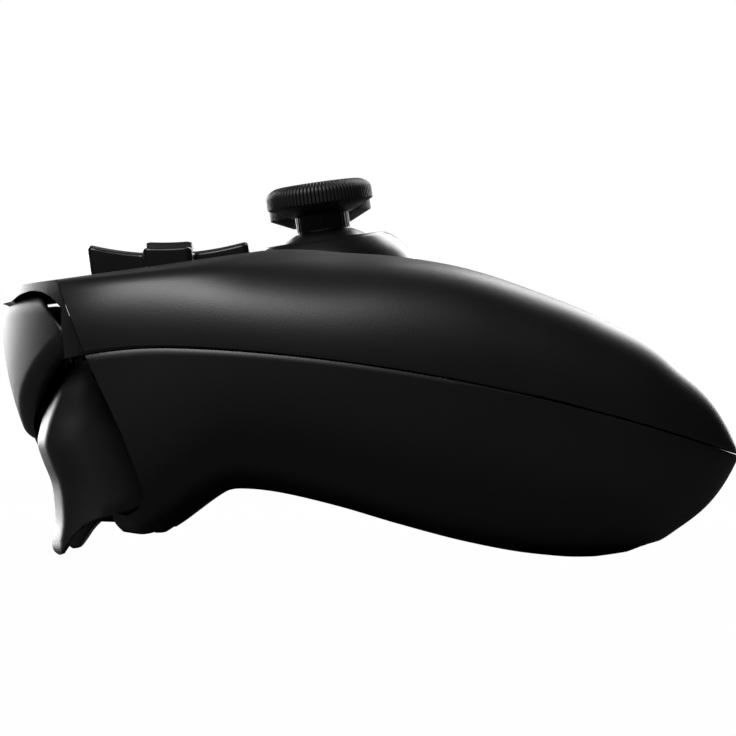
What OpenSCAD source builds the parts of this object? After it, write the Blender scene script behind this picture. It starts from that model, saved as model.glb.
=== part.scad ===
// Wireless gamepad controller: two shells, sticks, pads, bumpers and triggers with their inner parts.
// X runs to the player's right, Y to the trigger side, Z up; it rests on the grips and trigger tips.

/* [Body] */
// Overall width across the grips
body_w = 150; // [148:1:153]
// Wall of the two shells
wall = 2.2; // [2:0.1:2.4]
// Forward tilt of the face
face_tilt = 8; // [7.5:0.25:8.5]
// Sections from the middle to one grip tip
side_stations = 16; // [14:1:18]
// Steps along one section
section_steps = 14; // [12:2:16]

/* [Sticks] */
// Spacing of the two sticks
stick_spread = 56.8; // [56:0.2:58]
// Diameter of a stick cap
cap_d = 16.1; // [15:0.1:17]
// Diameter of a stick stem
stem_d = 8.1; // [7.6:0.1:8.4]
// Opening of a stick collar
collar_bore = 16.6; // [16.4:0.1:17]

/* [Pads and buttons] */
// Span of the direction pad
dpad_span = 23.9; // [22.5:0.1:24.4]
// Width of one arm of the direction pad
dpad_arm = 7; // [6.6:0.1:7.4]
// Diameter of a face button
button_d = 9; // [8.6:0.1:9.2]
// Distance of a face button from the middle of its group
button_ring = 10.2; // [9.8:0.1:10.4]
// Diameter of the home button
home_d = 9; // [8:0.1:9.6]
// Gap around a moving button
button_gap = 0.35; // [0.3:0.05:0.45]

/* [Triggers and bumpers] */
// Inner side of a trigger
trigger_in = 31; // [30.8:0.1:31.6]
// Outer side of a trigger
trigger_out = 56.5; // [55.5:0.1:56.7]
// Diameter of a trigger pin
pin_d = 2.5; // [2.2:0.1:2.8]
// Radial clearance of a turning fit
turn_gap = 0.06; // [0.04:0.01:0.08]
// Thickness of a bumper plate
bumper_t = 3; // [2.6:0.1:3.1]

/* [Inner parts] */
// Thickness of the main board
board_t = 1.6; // [1.2:0.2:1.6]
// Length of the battery cell
cell_l = 50; // [46:1:51]
// Shank diameter of a housing screw
screw_d = 2.5; // [2.2:0.1:2.6]

/* [Hidden] */

$fn = 48;
eps = 0.02;
tiny = 0.5;

shell_black = "#17181a";
part_black = "#1e1f22";
rubber_black = "#101113";
board_green = "#20452f";
metal_grey = "#9a9da3";
cell_grey = "#6d7278";

// Middle of the stick row on the plane of the collar tops, the origin of the tilted face frame
face_y = 5.9;
face_z = 47.5;

// Planform of one half: outer x, outer y, inner x, inner y, roundness above, roundness below
half_plan = [
    [-24, 64, -12, -14.2, 3, 3],
    [0, 66, 0, -14, 3, 3],
    [24, 64, 12, -14.2, 3, 3.2],
    [47, 58, 22, -15.5, 2.8, 4],
    [64, 45.5, 30, -19, 2.5, 4],
    [72, 28, 36, -25, 2.3, 3],
    [75, 8, 40.5, -32, 2.2, 2.5],
    [74.3, -14, 44.5, -39, 2.2, 2.3],
    [71, -36, 49, -46, 2.1, 2.2],
    [66.5, -48.5, 54, -51.8, 2, 2],
    [61, -54.9, 59.4, -54.9, 2, 2],
    [55, -57, 64, -56, 2, 2]
];
plan_spans = len(half_plan) - 3;
plan_w = 150;

// Side profiles of crest and belly, one value each profile_step from profile_start on
profile_start = -65;
profile_step = 10;
crest_profile = [-26, 15.3, 28.7, 35, 39.2, 42.5, 44.3, 45.1, 46.6, 49.2, 50, 50, 50, 50, 50];
belly_profile = [47.6, 14.7, 3.4, 0.2, 0.45, 2.2, 4.8, 7.7, 9.8, 10, 10, 10, 10, 10, 10];
belly_lift = 3;
crest_lift = 4;
crest_lift_x = [24, 42];
housing_bulge = 7.8;

// Face: height over the collar plane in the middle, crown over the width, rounding to the sides
face_drop = -0.4;
face_crown = 0.00017;

// Fall of the face beside the direction pad and the buttons: where it starts and how it grows
face_fall_x = 50;
face_fall = 0.007;
face_blend = 1.6;

// Front line of brow, bridge and bumpers
front_y = 55;
front_flat = 22;
front_curve = 0.0066;
front_belly_z = 36;
front_foot_z = 10.5;

stick_x = stick_spread / 2;

function ramp(v, a, b) = let (t = min(max((v - a) / (b - a), 0), 1)) t * t * (3 - 2 * t);
function soft_min(a, b, k) = let (h = max(k - abs(a - b), 0) / k) min(a, b) - h * h * k / 4;

// Smooth curve through the evenly spaced values of a list
function spline(list, at) =
    let (
        k = min(max(floor(at), 1), len(list) - 3),
        f = at - k,
        a = list[k - 1],
        b = list[k],
        c = list[k + 1],
        d = list[k + 2]
    )
    (2 * b + (c - a) * f + (2 * a - 5 * b + 4 * c - d) * f * f
        + (3 * b - a - 3 * c + d) * f * f * f) / 2;

function profile(list, y) = spline(list, (y - profile_start) / profile_step);

// Height of the seam between the shells along the side
function seam_z(y) =
    let (d = 28.7 - y, soft = (d + sqrt(d * d + 64)) / 2)
    30.8 - 0.045 * soft - (d > 0 ? 0.00172 : 0.0069) * d * d;

function face_at(x, y) =
    face_z - (y - face_y) * tan(face_tilt)
    + (face_drop - face_crown * x * x - face_fall * pow(max(abs(x) - face_fall_x, 0), 2)) / cos(face_tilt);

function crest_at(x, y) =
    profile(crest_profile, y)
    + crest_lift * (1 - ramp(abs(x), crest_lift_x[0], crest_lift_x[1])) * ramp(y, -14, 6);

// The trigger housing bulges down; inside it starts later by the lag, so that its wall stays whole
function belly_at(x, y, lag = 0) =
    profile(belly_profile, y)
    + belly_lift * (1 - ramp(abs(x), 14, 34)) * ramp(y, -10, 10)
    - housing_bulge * ramp(abs(x) - lag, 24, 34) * ramp(y - lag, 18.5, 33.5);

function roundness(s, n) = pow(max(0, 1 - pow(abs(2 * s - 1), n)), 1 / n);
function crowd(j) = (1 - cos(180 * j / section_steps)) / 2;

// One section row at station k, from minus to plus side_stations
function station(k) =
    let (
        row = spline(half_plan, 1 + plan_spans * abs(k) / side_stations),
        sx = (k < 0 ? -1 : 1) * body_w / plan_w
    )
    [row[0] * sx, row[1], row[2] * sx, row[3], row[4], row[5]];

// Point of the upper skin at s of a section, sunk by the wall inside
function upper_point(row, s, s_real, sunk) =
    let (
        x = row[2] + (row[0] - row[2]) * s_real,
        y = row[3] + (row[1] - row[3]) * s_real,
        base = seam_z(y),
        rise = crest_at(x, y) - base,
        high = max(rise - sunk, 0.15 * rise) * roundness(s, row[4]) + base
    )
    [x, y, max(soft_min(face_at(x, y) - sunk, high, face_blend), base)];

function lower_point(row, s, s_real, sunk) =
    let (
        x = row[2] + (row[0] - row[2]) * s_real,
        y = row[3] + (row[1] - row[3]) * s_real,
        base = seam_z(y),
        fall = base - belly_at(x, y, 0.75 * sunk),
        low = max(fall - sunk, 0.15 * fall) * roundness(s, row[5])
    )
    [x, y, base - low];

// Share of a section that its wall takes at each end
function wall_share(row) = min(wall / norm([row[0] - row[2], row[1] - row[3]]), 0.35);

function upper_loop(row) =
    let (share = wall_share(row))
    concat(
        [for (j = [0 : section_steps]) upper_point(row, crowd(j), crowd(j), 0)],
        [for (j = [section_steps : -1 : 0])
            upper_point(row, crowd(j), share + (1 - 2 * share) * crowd(j), wall)]
    );

function lower_loop(row) =
    let (share = wall_share(row))
    concat(
        [for (j = [0 : section_steps]) lower_point(row, crowd(j), crowd(j), 0)],
        [for (j = [section_steps : -1 : 0])
            lower_point(row, crowd(j), share + (1 - 2 * share) * crowd(j), wall)]
    );

// Solid through a row of equal loops; each end is closed across from first to last half of its loop
module skin(loops, flip) {
    m = len(loops[0]);
    n = len(loops);
    sides = [for (i = [0 : n - 2], j = [0 : m - 1], half = [0, 1])
        let (a = i * m + j, b = i * m + (j + 1) % m, c = a + m, d = b + m)
        half == 0 ? [a, b, d] : [a, d, c]];
    ends = [for (j = [0 : m / 2 - 2], half = [0, 1], last = [0, 1])
        let (
            cap = half == 0 ? [j, j + 1, m - 2 - j] : [j, m - 2 - j, m - 1 - j],
            base = last * (n - 1) * m
        )
        last == 1 ? [base + cap[0], base + cap[1], base + cap[2]] : [cap[2], cap[1], cap[0]]];
    faces = concat(sides, ends);
    polyhedron(
        points = [for (loop = loops, p = loop) p],
        faces = flip ? [for (f = faces) [for (i = [len(f) - 1 : -1 : 0]) f[i]]] : faces
    );
}

// Frame of the tilted face: x as the body, y along the face to the front, z its normal
module on_face() {
    translate([0, face_y, face_z]) rotate([-face_tilt, 0, 0]) children();
}

// Side profile in y and z drawn out along x
module along_x(x0, x1) {
    translate([x0, 0, 0]) rotate([90, 0, 90]) linear_extrude(x1 - x0) children();
}

// Same, on the left for side -1 and on the right for side 1
module beside(side, x0, x1) {
    along_x(side > 0 ? x0 : -x1, side > 0 ? x1 : -x0) children();
}

module sided(side) {
    if (side < 0) mirror([1, 0, 0]) children();
    else children();
}

// Front line in the plan, and how the front surface leans along its height
function front_line(x) = front_y - front_curve * pow(max(abs(x) - front_flat, 0), 2);
function front_lean(z) =
    z < front_belly_z
    ? -0.0115 * pow(front_belly_z - max(z, front_foot_z), 2)
    : -0.2 * pow(z - front_belly_z, 2);

// Arc under the brow that the bumper top follows
function brow_arc(y) = 39.4 - (y > 49.2 ? 0.1 : 0.14) * pow(y - 49.2, 2);

stations = [for (k = [-side_stations : side_stations]) station(k)];

module upper_skin() {
    skin([for (row = stations) upper_loop(row)], false);
}

module lower_skin() {
    skin([for (row = stations) lower_loop(row)], true);
}

// Side profile of the shell front: slanted edge from the face corner down to the lip
shell_front = [
    [45.4, 60], [45.4, 40.6], [41, 29.5], [35.6, 18.1], [32.7, 10.5], [32.5, 8.6], [33.4, 6.9],
    [35.2, 6], [37.1, 6.4], [37.1, -5]
];
front_far = 75;
bridge_gap = 0.12;
bumper_in = 23.6;
bumper_out = 61;
bridge_half = 23.2;
trigger_zone = 30.6;
floor_front = 46.4;
floor_gap = 0.25;

module front_cut(dy) {
    polygon(concat([for (p = shell_front) p + [dy, 0]], [[front_far, -5], [front_far, 60]]));
}

// Everything ahead of the curved front line
module front_beyond() {
    steps = 32;
    half = 80;
    linear_extrude(70) polygon(concat(
        [for (i = [-steps : steps]) [half * i / steps, front_line(half * i / steps)]],
        [[half, 90], [-half, 90]]
    ));
}

// Room of bumper and trigger below the brow arc
module bumper_room() {
    polygon(concat(
        [[front_far, 36]],
        [for (y = [56 : -0.8 : 43.2]) [y, brow_arc(y)]],
        [[41.2, 29.6], [41.2, 0], [front_far, 0]]
    ));
}

// Screw bosses: x, y, well floor, boss parting, top of the upper boss, foot of the lower boss
boss_spots = [
    [60, -41, 10, 18.7, 28.9, 3.2],
    [58, 13.4, 20, 29.6, 44, 10.8],
    [19.5, 41.5, 19, 29, 40.9, 14]
];
boss_r = 3.2;
well_r = 2.5;
head_r = 2.3;
head_h = 1.6;
screw_into = 6;

dpad_at = [-40, 23.5];
pad_at = [40.5, 23.5];
menu_at = [13, 25];
home_at = [0, 10];
light_at = [0, 17.5];
face_buttons = [[0, 1], [1, 0], [0, -1], [-1, 0]];
menu_size = [8.4, 3.6];
light_d = 2.4;

// Collar: cone from the ring plane down, with a dome-clearing ball room inside
collar_top_r = 9.5;
collar_base_r = 13.4;
collar_h = 5;
collar_skirt = 1.6;
collar_foot_z = 43.4;
collar_gap = 0.05;
pivot_w = -8.2;
dome_r = 10.4;
dome_t = 1;
dome_gap = 0.45;

// Board and its bosses in the face frame
board_w = -13.7;
board_bosses = [[10, 2], [48, 5]];
board_boss_r = 2.4;
small_screw_d = 2;
boss_top_w = -2;

module at_stick(side) {
    on_face() translate([side * stick_x, 0, 0]) children();
}

module collar_cone(grow) {
    translate([0, 0, -collar_h]) cylinder(h = collar_h, r1 = collar_base_r + grow, r2 = collar_top_r + grow);
    translate([0, 0, -collar_h - collar_skirt - 3 * grow])
        cylinder(h = collar_skirt + 3 * grow + eps, r = collar_base_r + grow);
    if (grow > 0) translate([0, 0, -eps]) cylinder(h = 6, r = collar_top_r + grow);
}

module dpad_cross(grow, z0, z1) {
    span = dpad_span + 2 * grow;
    arm = dpad_arm + 2 * grow;
    translate([0, 0, (z0 + z1) / 2]) cube([span, arm, z1 - z0], center = true);
    translate([0, 0, (z0 + z1) / 2]) cube([arm, span, z1 - z0], center = true);
}

module pill(size, z0, z1) {
    r = size[1] / 2;
    reach = size[0] / 2 - r;
    translate([0, 0, (z0 + z1) / 2]) cube([2 * reach, size[1], z1 - z0], center = true);
    for (dx = [-reach, reach]) translate([dx, 0, z0]) cylinder(h = z1 - z0, r = r);
}

module top_shell() {
    color(shell_black) difference() {
        union() {
            difference() {
                upper_skin();
                along_x(-80, 80) front_cut(0);
                for (side = [-1, 1]) at_stick(side) {
                    collar_cone(collar_gap);
                    translate([0, 0, pivot_w]) sphere(r = dome_r + dome_gap, $fn = 96);
                }
                on_face() {
                    translate([dpad_at[0], dpad_at[1], 0]) dpad_cross(button_gap, -8, 6);
                    for (d = face_buttons)
                        translate([pad_at[0], pad_at[1], -8] + button_ring * [d[0], d[1], 0])
                        cylinder(h = 14, d = button_d + 2 * button_gap);
                    for (side = [-1, 1]) translate([side * menu_at[0], menu_at[1], 0])
                        pill(menu_size + 2 * button_gap * [1, 1], -8, 6);
                    translate([home_at[0], home_at[1], -8]) cylinder(h = 14, d = home_d + 2 * button_gap);
                    translate([light_at[0], light_at[1], -8]) cylinder(h = 14, d = light_d + 2 * eps);
                }
            }
            for (side = [-1, 1], b = boss_spots) translate([side * b[0], b[1], b[3] + tiny / 2])
                cylinder(h = b[4] - b[3] - tiny / 2, r = boss_r);
            on_face() for (side = [-1, 1], b = board_bosses) translate([side * b[0], b[1], board_w])
                cylinder(h = boss_top_w - board_w, r = board_boss_r);
        }
        for (side = [-1, 1], b = boss_spots) translate([side * b[0], b[1], b[3] - 1])
            cylinder(h = screw_into + 1.6, d = screw_d + 2 * eps);
        on_face() for (side = [-1, 1], b = board_bosses) translate([side * b[0], b[1], board_w - 1])
            cylinder(h = 7, d = small_screw_d + 2 * eps);
    }
}

// Floor ahead of the bridge wall, which leans back to it
module floor_cut() {
    wall_back = front_line(trigger_zone) - bridge_back - bridge_t - floor_gap;
    polygon(concat(
        [for (z = [-5 : 1.5 : 31]) [wall_back + front_lean(z), z]],
        [[front_far, 31], [front_far, -5]]
    ));
}

cell_size = [cell_l, 32, 6.6];
cell_at = [0, 18, 17.4];
rail_x = 17;
rail_foot = 13.7;
stop_foot = 11.7;
bracket_posts = [[34.5, 23.8], [52.5, 23.8]];
post_sunk_z = 10.2;
bracket_foot_z = 12.9;
bracket_top_z = 27.3;

module bottom_shell() {
    color(shell_black) difference() {
        union() {
            difference() {
                lower_skin();
                for (side = [-1, 1]) beside(side, trigger_zone, 80) front_cut(0);
                for (side = [-1, 1]) beside(side, trigger_zone - eps, trigger_out + 0.9)
                    polygon([[front_far, -5], [31, -5], [31, 10], [34, 14], [front_far, 14]]);
                along_x(-trigger_zone - eps, trigger_zone + eps) floor_cut();
            }
            for (side = [-1, 1], b = boss_spots) translate([side * b[0], b[1], b[5]])
                cylinder(h = b[3] - b[5], r = boss_r + 0.3);
            for (side = [-1, 1]) {
                translate([side * rail_x - 1, 10, rail_foot]) cube([2, 22, cell_at[2] - rail_foot]);
                translate([side * (cell_l / 2 + 1) - 0.75, 10, stop_foot]) cube([1.5, 18, 8]);
                for (p = bracket_posts) translate([side * p[0], p[1], post_sunk_z])
                    cylinder(h = bracket_foot_z - post_sunk_z, r = board_boss_r);
            }
        }
        for (side = [-1, 1], b = boss_spots) translate([side * b[0], b[1], 0]) {
            translate([0, 0, -2]) cylinder(h = b[2] + 2, r = well_r);
            cylinder(h = b[3] + 1, d = screw_d + 0.4);
        }
        for (side = [-1, 1], p = bracket_posts) translate([side * p[0], p[1], bracket_foot_z - 3])
            cylinder(h = 4, d = small_screw_d + 2 * eps);
    }
}

// Loop of a plate that follows the curved front at x, from z0 up to z1, or to z2 on its back
front_steps = 7;
function front_edge(x, z0, z1, back) =
    [for (i = [0 : front_steps])
        let (z = z0 + (z1 - z0) * i / front_steps) [x, front_line(x) + front_lean(z) - back, z]];

function front_loop(x, z0, z1, t, back, z2 = undef) =
    let (rear = front_edge(x, z0, is_undef(z2) ? z1 : z2, back + t))
    concat(front_edge(x, z0, z1, back), [for (i = [front_steps : -1 : 0]) rear[i]]);

bridge_t = 2.2;
bridge_back = 1;
leg_gap = 0.5;
lug_z = [20, 33.9];
lug_h = 2.1;
bumper_pin_at = [25.4, 47.6];
bumper_pin_d = 2.2;
knuckle_r = 2.2;
usb_size = [9, 8, 3.2];
usb_v = 41.6;

module front_bridge() {
    color(part_black) difference() {
        union() {
            difference() {
                intersection() {
                    upper_skin();
                    along_x(-80, 80) front_cut(bridge_gap);
                }
                front_beyond();
                for (side = [-1, 1]) beside(side, bumper_in - 0.4, bumper_out + leg_gap) bumper_room();
            }
            skin([for (x = [-bridge_half : bridge_half / 6 : bridge_half + eps])
                front_loop(x, 13.2, 39, bridge_t, bridge_back)], true);
            for (side = [-1, 1]) {
                sided(side) skin([for (x = [bridge_half - eps, 26.5, trigger_zone - 0.4])
                    front_loop(x, belly_at(x, floor_front) + 0.9, 16.4, bridge_t, bridge_back)], true);
                for (z = lug_z) sided(side) translate([bridge_half - 3, bumper_pin_at[1] - knuckle_r, z])
                    cube([bumper_pin_at[0] + knuckle_r - bridge_half + 3, 2 * knuckle_r, lug_h]);
                beside(side, bridge_half - 3, bridge_half - 0.8) polygon([
                    [45.4, lug_z[0]], [50.5, lug_z[0]], [52.2, 26], [53, 31], [53.2, 36], [45.4, 36]
                ]);
            }
        }
        for (side = [-1, 1]) translate([side * bumper_pin_at[0], bumper_pin_at[1], lug_z[0] - 1])
            cylinder(h = 20, d = bumper_pin_d + 2 * eps);
        on_face() translate([-usb_size[0] / 2 - 0.2, usb_v, board_w - 0.2])
            cube([usb_size[0] + 0.4, 20, usb_size[2] + 0.4]);
    }
}

// Collar ring, cut level below so that it clears the buttons beside it
module stick_collar(side) {
    color(part_black) difference() {
        at_stick(side) difference() {
            collar_cone(0);
            translate([0, 0, -12]) cylinder(h = 14, d = collar_bore);
            translate([0, 0, pivot_w]) sphere(r = dome_r + dome_gap, $fn = 96);
        }
        translate([side * stick_x - 20, face_y - 25, collar_foot_z - 20]) cube([40, 50, 20]);
    }
}

board_half = 51;
board_back = -9;
board_front = 31;
usb_tongue = [16, 46.4];

module board_outline() {
    difference() {
        union() {
            translate([-board_half, board_back]) square([2 * board_half, board_front - board_back]);
            translate([-usb_tongue[0] / 2, 0]) square(usb_tongue);
        }
        for (side = [-1, 1], b = board_bosses) translate([side * b[0], b[1]]) circle(d = small_screw_d + 0.3);
    }
}

module main_board() {
    color(board_green) on_face() translate([0, 0, board_w - board_t]) linear_extrude(board_t) board_outline();
}

chip_h = 1.2;

module board_chips() {
    color(metal_grey) on_face() {
        translate([-5, 0.5, board_w]) cube([10, 6, 2]);
        translate([-4, 24, board_w - board_t - chip_h]) cube([8, 8, chip_h]);
        translate([14, 0, board_w - board_t - chip_h]) cube([5, 4, chip_h]);
    }
}

module battery_cell() {
    color(cell_grey) translate([cell_at[0] - cell_l / 2, cell_at[1] - cell_size[1] / 2, cell_at[2]])
        cube(cell_size);
}

module usb_socket() {
    color(metal_grey) on_face() translate([-usb_size[0] / 2, usb_v, board_w]) difference() {
        cube(usb_size);
        translate([0.35, 1.2, 0.35]) cube([usb_size[0] - 0.7, usb_size[1], usb_size[2] - 0.7]);
    }
}

// Stick module: base box, click carrier, gimbal rocker and post, nested around one pivot
base_half = 6.3;
base_wall = 0.8;
base_top = -6.8;
carrier_half = 5.35;
carrier_wall = 1;
carrier_z = [-10.2, -6.9];
rocker_half = 3.9;
rocker_wall = 0.9;
rocker_rise = 1.2;
axle_r = 0.8;
post_r = 2;
post_foot = 3.4;
post_top = 6.6;
post_pin_r = 0.75;

module box_ring(half, t, z0, z1) {
    translate([0, 0, (z0 + z1) / 2]) difference() {
        cube([2 * half, 2 * half, z1 - z0], center = true);
        cube([2 * (half - t), 2 * (half - t), z1 - z0 + 1], center = true);
    }
}

module bar_x(r, x0, x1) {
    translate([x0, 0, 0]) rotate([0, 90, 0]) cylinder(h = x1 - x0, r = r);
}

module bar_y(r, y0, y1) {
    translate([0, y1, 0]) rotate([90, 0, 0]) cylinder(h = y1 - y0, r = r);
}

module stick_base(side) {
    color(metal_grey) at_stick(side) {
        box_ring(base_half, base_wall, board_w, base_top);
        difference() {
            translate([0, 0, board_w + base_wall / 2])
                cube([2 * base_half, 2 * base_half, base_wall], center = true);
            translate([0, 0, board_w - 1]) cylinder(h = 4, r = 1.6);
        }
    }
}

module stick_carrier(side) {
    color(part_black) at_stick(side) difference() {
        box_ring(carrier_half, carrier_wall, carrier_z[0], carrier_z[1]);
        translate([0, 0, pivot_w]) bar_x(axle_r + turn_gap, -8, 8);
    }
}

module stick_rocker(side) {
    color(part_black) at_stick(side) translate([0, 0, pivot_w]) difference() {
        union() {
            box_ring(rocker_half, rocker_wall, -rocker_rise, rocker_rise);
            for (d = [-1, 1]) bar_x(axle_r, d > 0 ? rocker_half - 0.3 : -carrier_half + 0.15,
                d > 0 ? carrier_half - 0.15 : -rocker_half + 0.3);
        }
        bar_y(post_pin_r + turn_gap, -8, 8);
    }
}

module stick_post(side) {
    color(metal_grey) at_stick(side) translate([0, 0, pivot_w]) {
        cylinder(h = post_top - pivot_w, r = post_r);
        translate([0, 0, -post_foot]) cylinder(h = post_foot + eps, r = 1.5);
        for (d = [-1, 1]) bar_y(post_pin_r, d > 0 ? post_r - 0.4 : -rocker_half + 0.1,
            d > 0 ? rocker_half - 0.1 : -post_r + 0.4);
    }
}

cap_w = [3.9, 8.75];
cap_neck_r = 4.6;
stem_foot = -0.4;

module stick_stem(side) {
    color(part_black) at_stick(side) difference() {
        union() {
            difference() {
                translate([0, 0, pivot_w]) sphere(r = dome_r, $fn = 96);
                translate([0, 0, pivot_w]) sphere(r = dome_r - dome_t, $fn = 96);
                translate([0, 0, pivot_w + dome_r * cos(67) - 30]) cylinder(h = 30, r = 20);
            }
            translate([0, 0, stem_foot]) cylinder(h = cap_w[0] - stem_foot, d = stem_d);
        }
        translate([0, 0, -12]) cylinder(h = 30, r = post_r + eps);
    }
}

// Rubber cap: rim with rounded top edge, dished middle, underside coned down to the stem
module stick_cap(side) {
    r = cap_d / 2;
    h = cap_w[1] - cap_w[0];
    color(rubber_black) at_stick(side) translate([0, 0, cap_w[0]]) difference() {
        rotate_extrude($fn = 96) polygon([
            [0, 0], [cap_neck_r, 0], [r - 0.2, h - 3.4], [r, h - 3.1], [r, h - 1.7], [r - 0.3, h - 0.9],
            [r - 0.9, h - 0.35], [r - 1.8, h - 0.07], [r - 2.6, h], [0, h]
        ]);
        translate([0, 0, h + 11.4]) sphere(r = 12, $fn = 96);
        translate([0, 0, -1]) cylinder(h = post_top - cap_w[0] + 1 + 0.05, r = post_r + eps);
    }
}

module stick_sensors() {
    color(rubber_black) for (side = [-1, 1]) at_stick(side) translate([-1.1, -1.1, board_w])
        cube([2.2, 2.2, 1]);
}

module stick_switches() {
    color(metal_grey) for (side = [-1, 1]) at_stick(side) {
        translate([-1.5, 3.5, board_w + base_wall]) cube([3, 1.9, 1.6]);
        translate([0, 4.45, board_w + base_wall + 1.6 - eps]) cylinder(h = 0.5, r = 0.7);
    }
}

dpad_dish_r = 40;
dpad_lean = [3.7, 6.5];
dpad_middle_w = 0;
dpad_pivot_w = -2.5;
ball_r = 1.8;
ball_gap = 0.3;
flange_w = [-5.4, -4.3];
dpad_flange_w = [-6.6, -5.6];
plunger_at = 5.2;
plunger_r = 1.5;
membrane_top = -11.9;
button_top_w = 1.6;
crown_r = 24;

module dpad_cap() {
    dish = [-sin(dpad_lean[0]), -sin(dpad_lean[1]), 0] * dpad_dish_r
        + [0, 0, dpad_middle_w + dpad_dish_r * cos(dpad_lean[1])];
    color(part_black) on_face() translate([dpad_at[0], dpad_at[1], 0]) difference() {
        union() {
            dpad_cross(0, dpad_flange_w[0] + eps, 5);
            for (turn = [0, 90]) rotate([0, 0, turn])
                translate([0, 0, (dpad_flange_w[0] + dpad_flange_w[1]) / 2])
                cube([dpad_span - 1, dpad_arm + 2.4, dpad_flange_w[1] - dpad_flange_w[0]], center = true);
            for (d = face_buttons) translate([d[0] * plunger_at, d[1] * plunger_at, membrane_top + 0.05])
                cylinder(h = dpad_flange_w[0] - membrane_top, r = plunger_r);
        }
        translate(dish) sphere(r = dpad_dish_r, $fn = 128);
        translate([0, 0, dpad_pivot_w]) sphere(r = ball_r + turn_gap);
        translate([0, 0, -12]) cylinder(h = 12 + dpad_pivot_w, r = ball_r + turn_gap);
    }
}

module dpad_ball() {
    color(metal_grey) on_face() translate([dpad_at[0], dpad_at[1], dpad_pivot_w]) difference() {
        sphere(r = ball_r);
        translate([0, 0, -4]) cylinder(h = 3, r = 3);
    }
}

module dpad_post() {
    color(part_black) on_face() translate([dpad_at[0], dpad_at[1], board_w])
        cylinder(h = dpad_pivot_w - 1 - board_w - ball_gap, r = 1.2);
}

// Rubber sheet with one dome under each plunger
module membrane(spots) {
    for (p = spots) translate([p[0], p[1], board_w]) {
        cylinder(h = membrane_top - board_w, r1 = 2.2, r2 = 1.7);
    }
}

module dpad_membrane() {
    color(rubber_black) on_face() translate([dpad_at[0], dpad_at[1], 0]) difference() {
        union() {
            membrane([for (d = face_buttons) plunger_at * d]);
            translate([0, 0, board_w]) cylinder(h = 0.6, r = 7.4);
        }
        translate([0, 0, board_w - 1]) cylinder(h = 4, r = 1.6);
    }
}

module button_membrane() {
    color(rubber_black) on_face() translate([pad_at[0], pad_at[1], 0]) {
        membrane([for (d = face_buttons) button_ring * d - plunger_shift(d)]);
        translate([-9, -10.2, board_w]) cube([18, 17.4, 0.6]);
    }
}

// The front plunger stands back so that it meets the board
function plunger_shift(d) = [0, d[1] > 0 ? 5 : 0];

// Face button: crowned cap, flange under the shell, plunger on the membrane
module face_button(d) {
    spot = pad_at + button_ring * d;
    color(part_black) on_face() translate([spot[0], spot[1], 0]) {
        intersection() {
            translate([0, 0, flange_w[0]]) cylinder(h = 12, d = button_d);
            translate([0, 0, button_top_w - crown_r]) sphere(r = crown_r, $fn = 128);
        }
        translate([0, 0, flange_w[0]]) cylinder(h = flange_w[1] - flange_w[0], d = button_d + 1.4);
        translate([0, -plunger_shift(d)[1], membrane_top + 0.05])
            cylinder(h = flange_w[1] - membrane_top - 0.05, r = plunger_r);
    }
}

module menu_button(side) {
    color(part_black) on_face() translate([side * menu_at[0], menu_at[1], 0]) {
        pill(menu_size, flange_w[0], 0.5);
        pill(menu_size + [1.6, 1.6], flange_w[0], flange_w[1]);
        translate([0, 0, membrane_top + 0.05]) cylinder(h = flange_w[0] - membrane_top, r = 1.4);
    }
}

module home_button() {
    color(part_black) on_face() translate([home_at[0], home_at[1], 0]) {
        translate([0, 0, flange_w[0]]) cylinder(h = 0.3 - flange_w[0], d = home_d);
        translate([0, 0, flange_w[0]]) cylinder(h = flange_w[1] - flange_w[0], d = home_d + 1.6);
        translate([0, 0, membrane_top + 0.05]) cylinder(h = flange_w[0] - membrane_top, r = 1.8);
    }
}

module middle_membrane() {
    color(rubber_black) on_face() {
        membrane([[-menu_at[0], menu_at[1]], [menu_at[0], menu_at[1]], home_at]);
        translate([-menu_at[0], menu_at[1] - 1.5, board_w]) cube([2 * menu_at[0], 3, 0.6]);
        translate([-1.5, home_at[1], board_w]) cube([3, menu_at[1] - home_at[1], 0.6]);
    }
}

module status_light() {
    color(metal_grey) on_face() translate([light_at[0], light_at[1], -3.6]) {
        cylinder(h = 3.25, d = light_d);
        translate([0, 0, board_w + 3.6 + 0.7]) cylinder(h = -board_w - 3.6 - 0.7, d = light_d + 1);
    }
}

// Lower edge of a bumper climbs to its outer end, its top follows the brow arc
function bumper_low(x) = 17.2 + 0.385 * (x - bumper_in);
function bumper_high(x, depth) =
    let (y = front_line(x) - bumper_top_back - depth)
    min(brow_arc(y), brow_arc(y - bumper_sweep * (x - bumper_in))) - bumper_gap;
function bumper_top(x, depth) = max(bumper_high(x, depth), bumper_low(x) + bumper_least);
function bumper_thick(x) = bumper_t - 1.2 * (1 - ramp(x, 26, 42));
bumper_steps = 11;
bumper_top_back = 0.8;
bumper_sweep = 0.03;
bumper_gap = 0.45;
bumper_least = 1.2;

module bumper(side) {
    color(shell_black) sided(side) difference() {
        union() {
            skin([for (i = [0 : bumper_steps])
                let (x = bumper_in + (bumper_out - bumper_in) * i / bumper_steps)
                front_loop(x, bumper_low(x), bumper_top(x, 0), bumper_thick(x), 0,
                    bumper_top(x, bumper_thick(x)))], true);
            translate([bumper_pin_at[0] - 1.2, bumper_pin_at[1], lug_z[0] + lug_h + 0.2])
                cube([2.4, 5, lug_z[1] - lug_z[0] - lug_h - 0.4]);
            translate([bumper_pin_at[0], bumper_pin_at[1], lug_z[0] + lug_h + 0.2])
                cylinder(h = lug_z[1] - lug_z[0] - lug_h - 0.4, r = knuckle_r);
        }
        translate([bumper_pin_at[0], bumper_pin_at[1], lug_z[0]])
            cylinder(h = 20, d = bumper_pin_d + 2 * turn_gap);
    }
}

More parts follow.
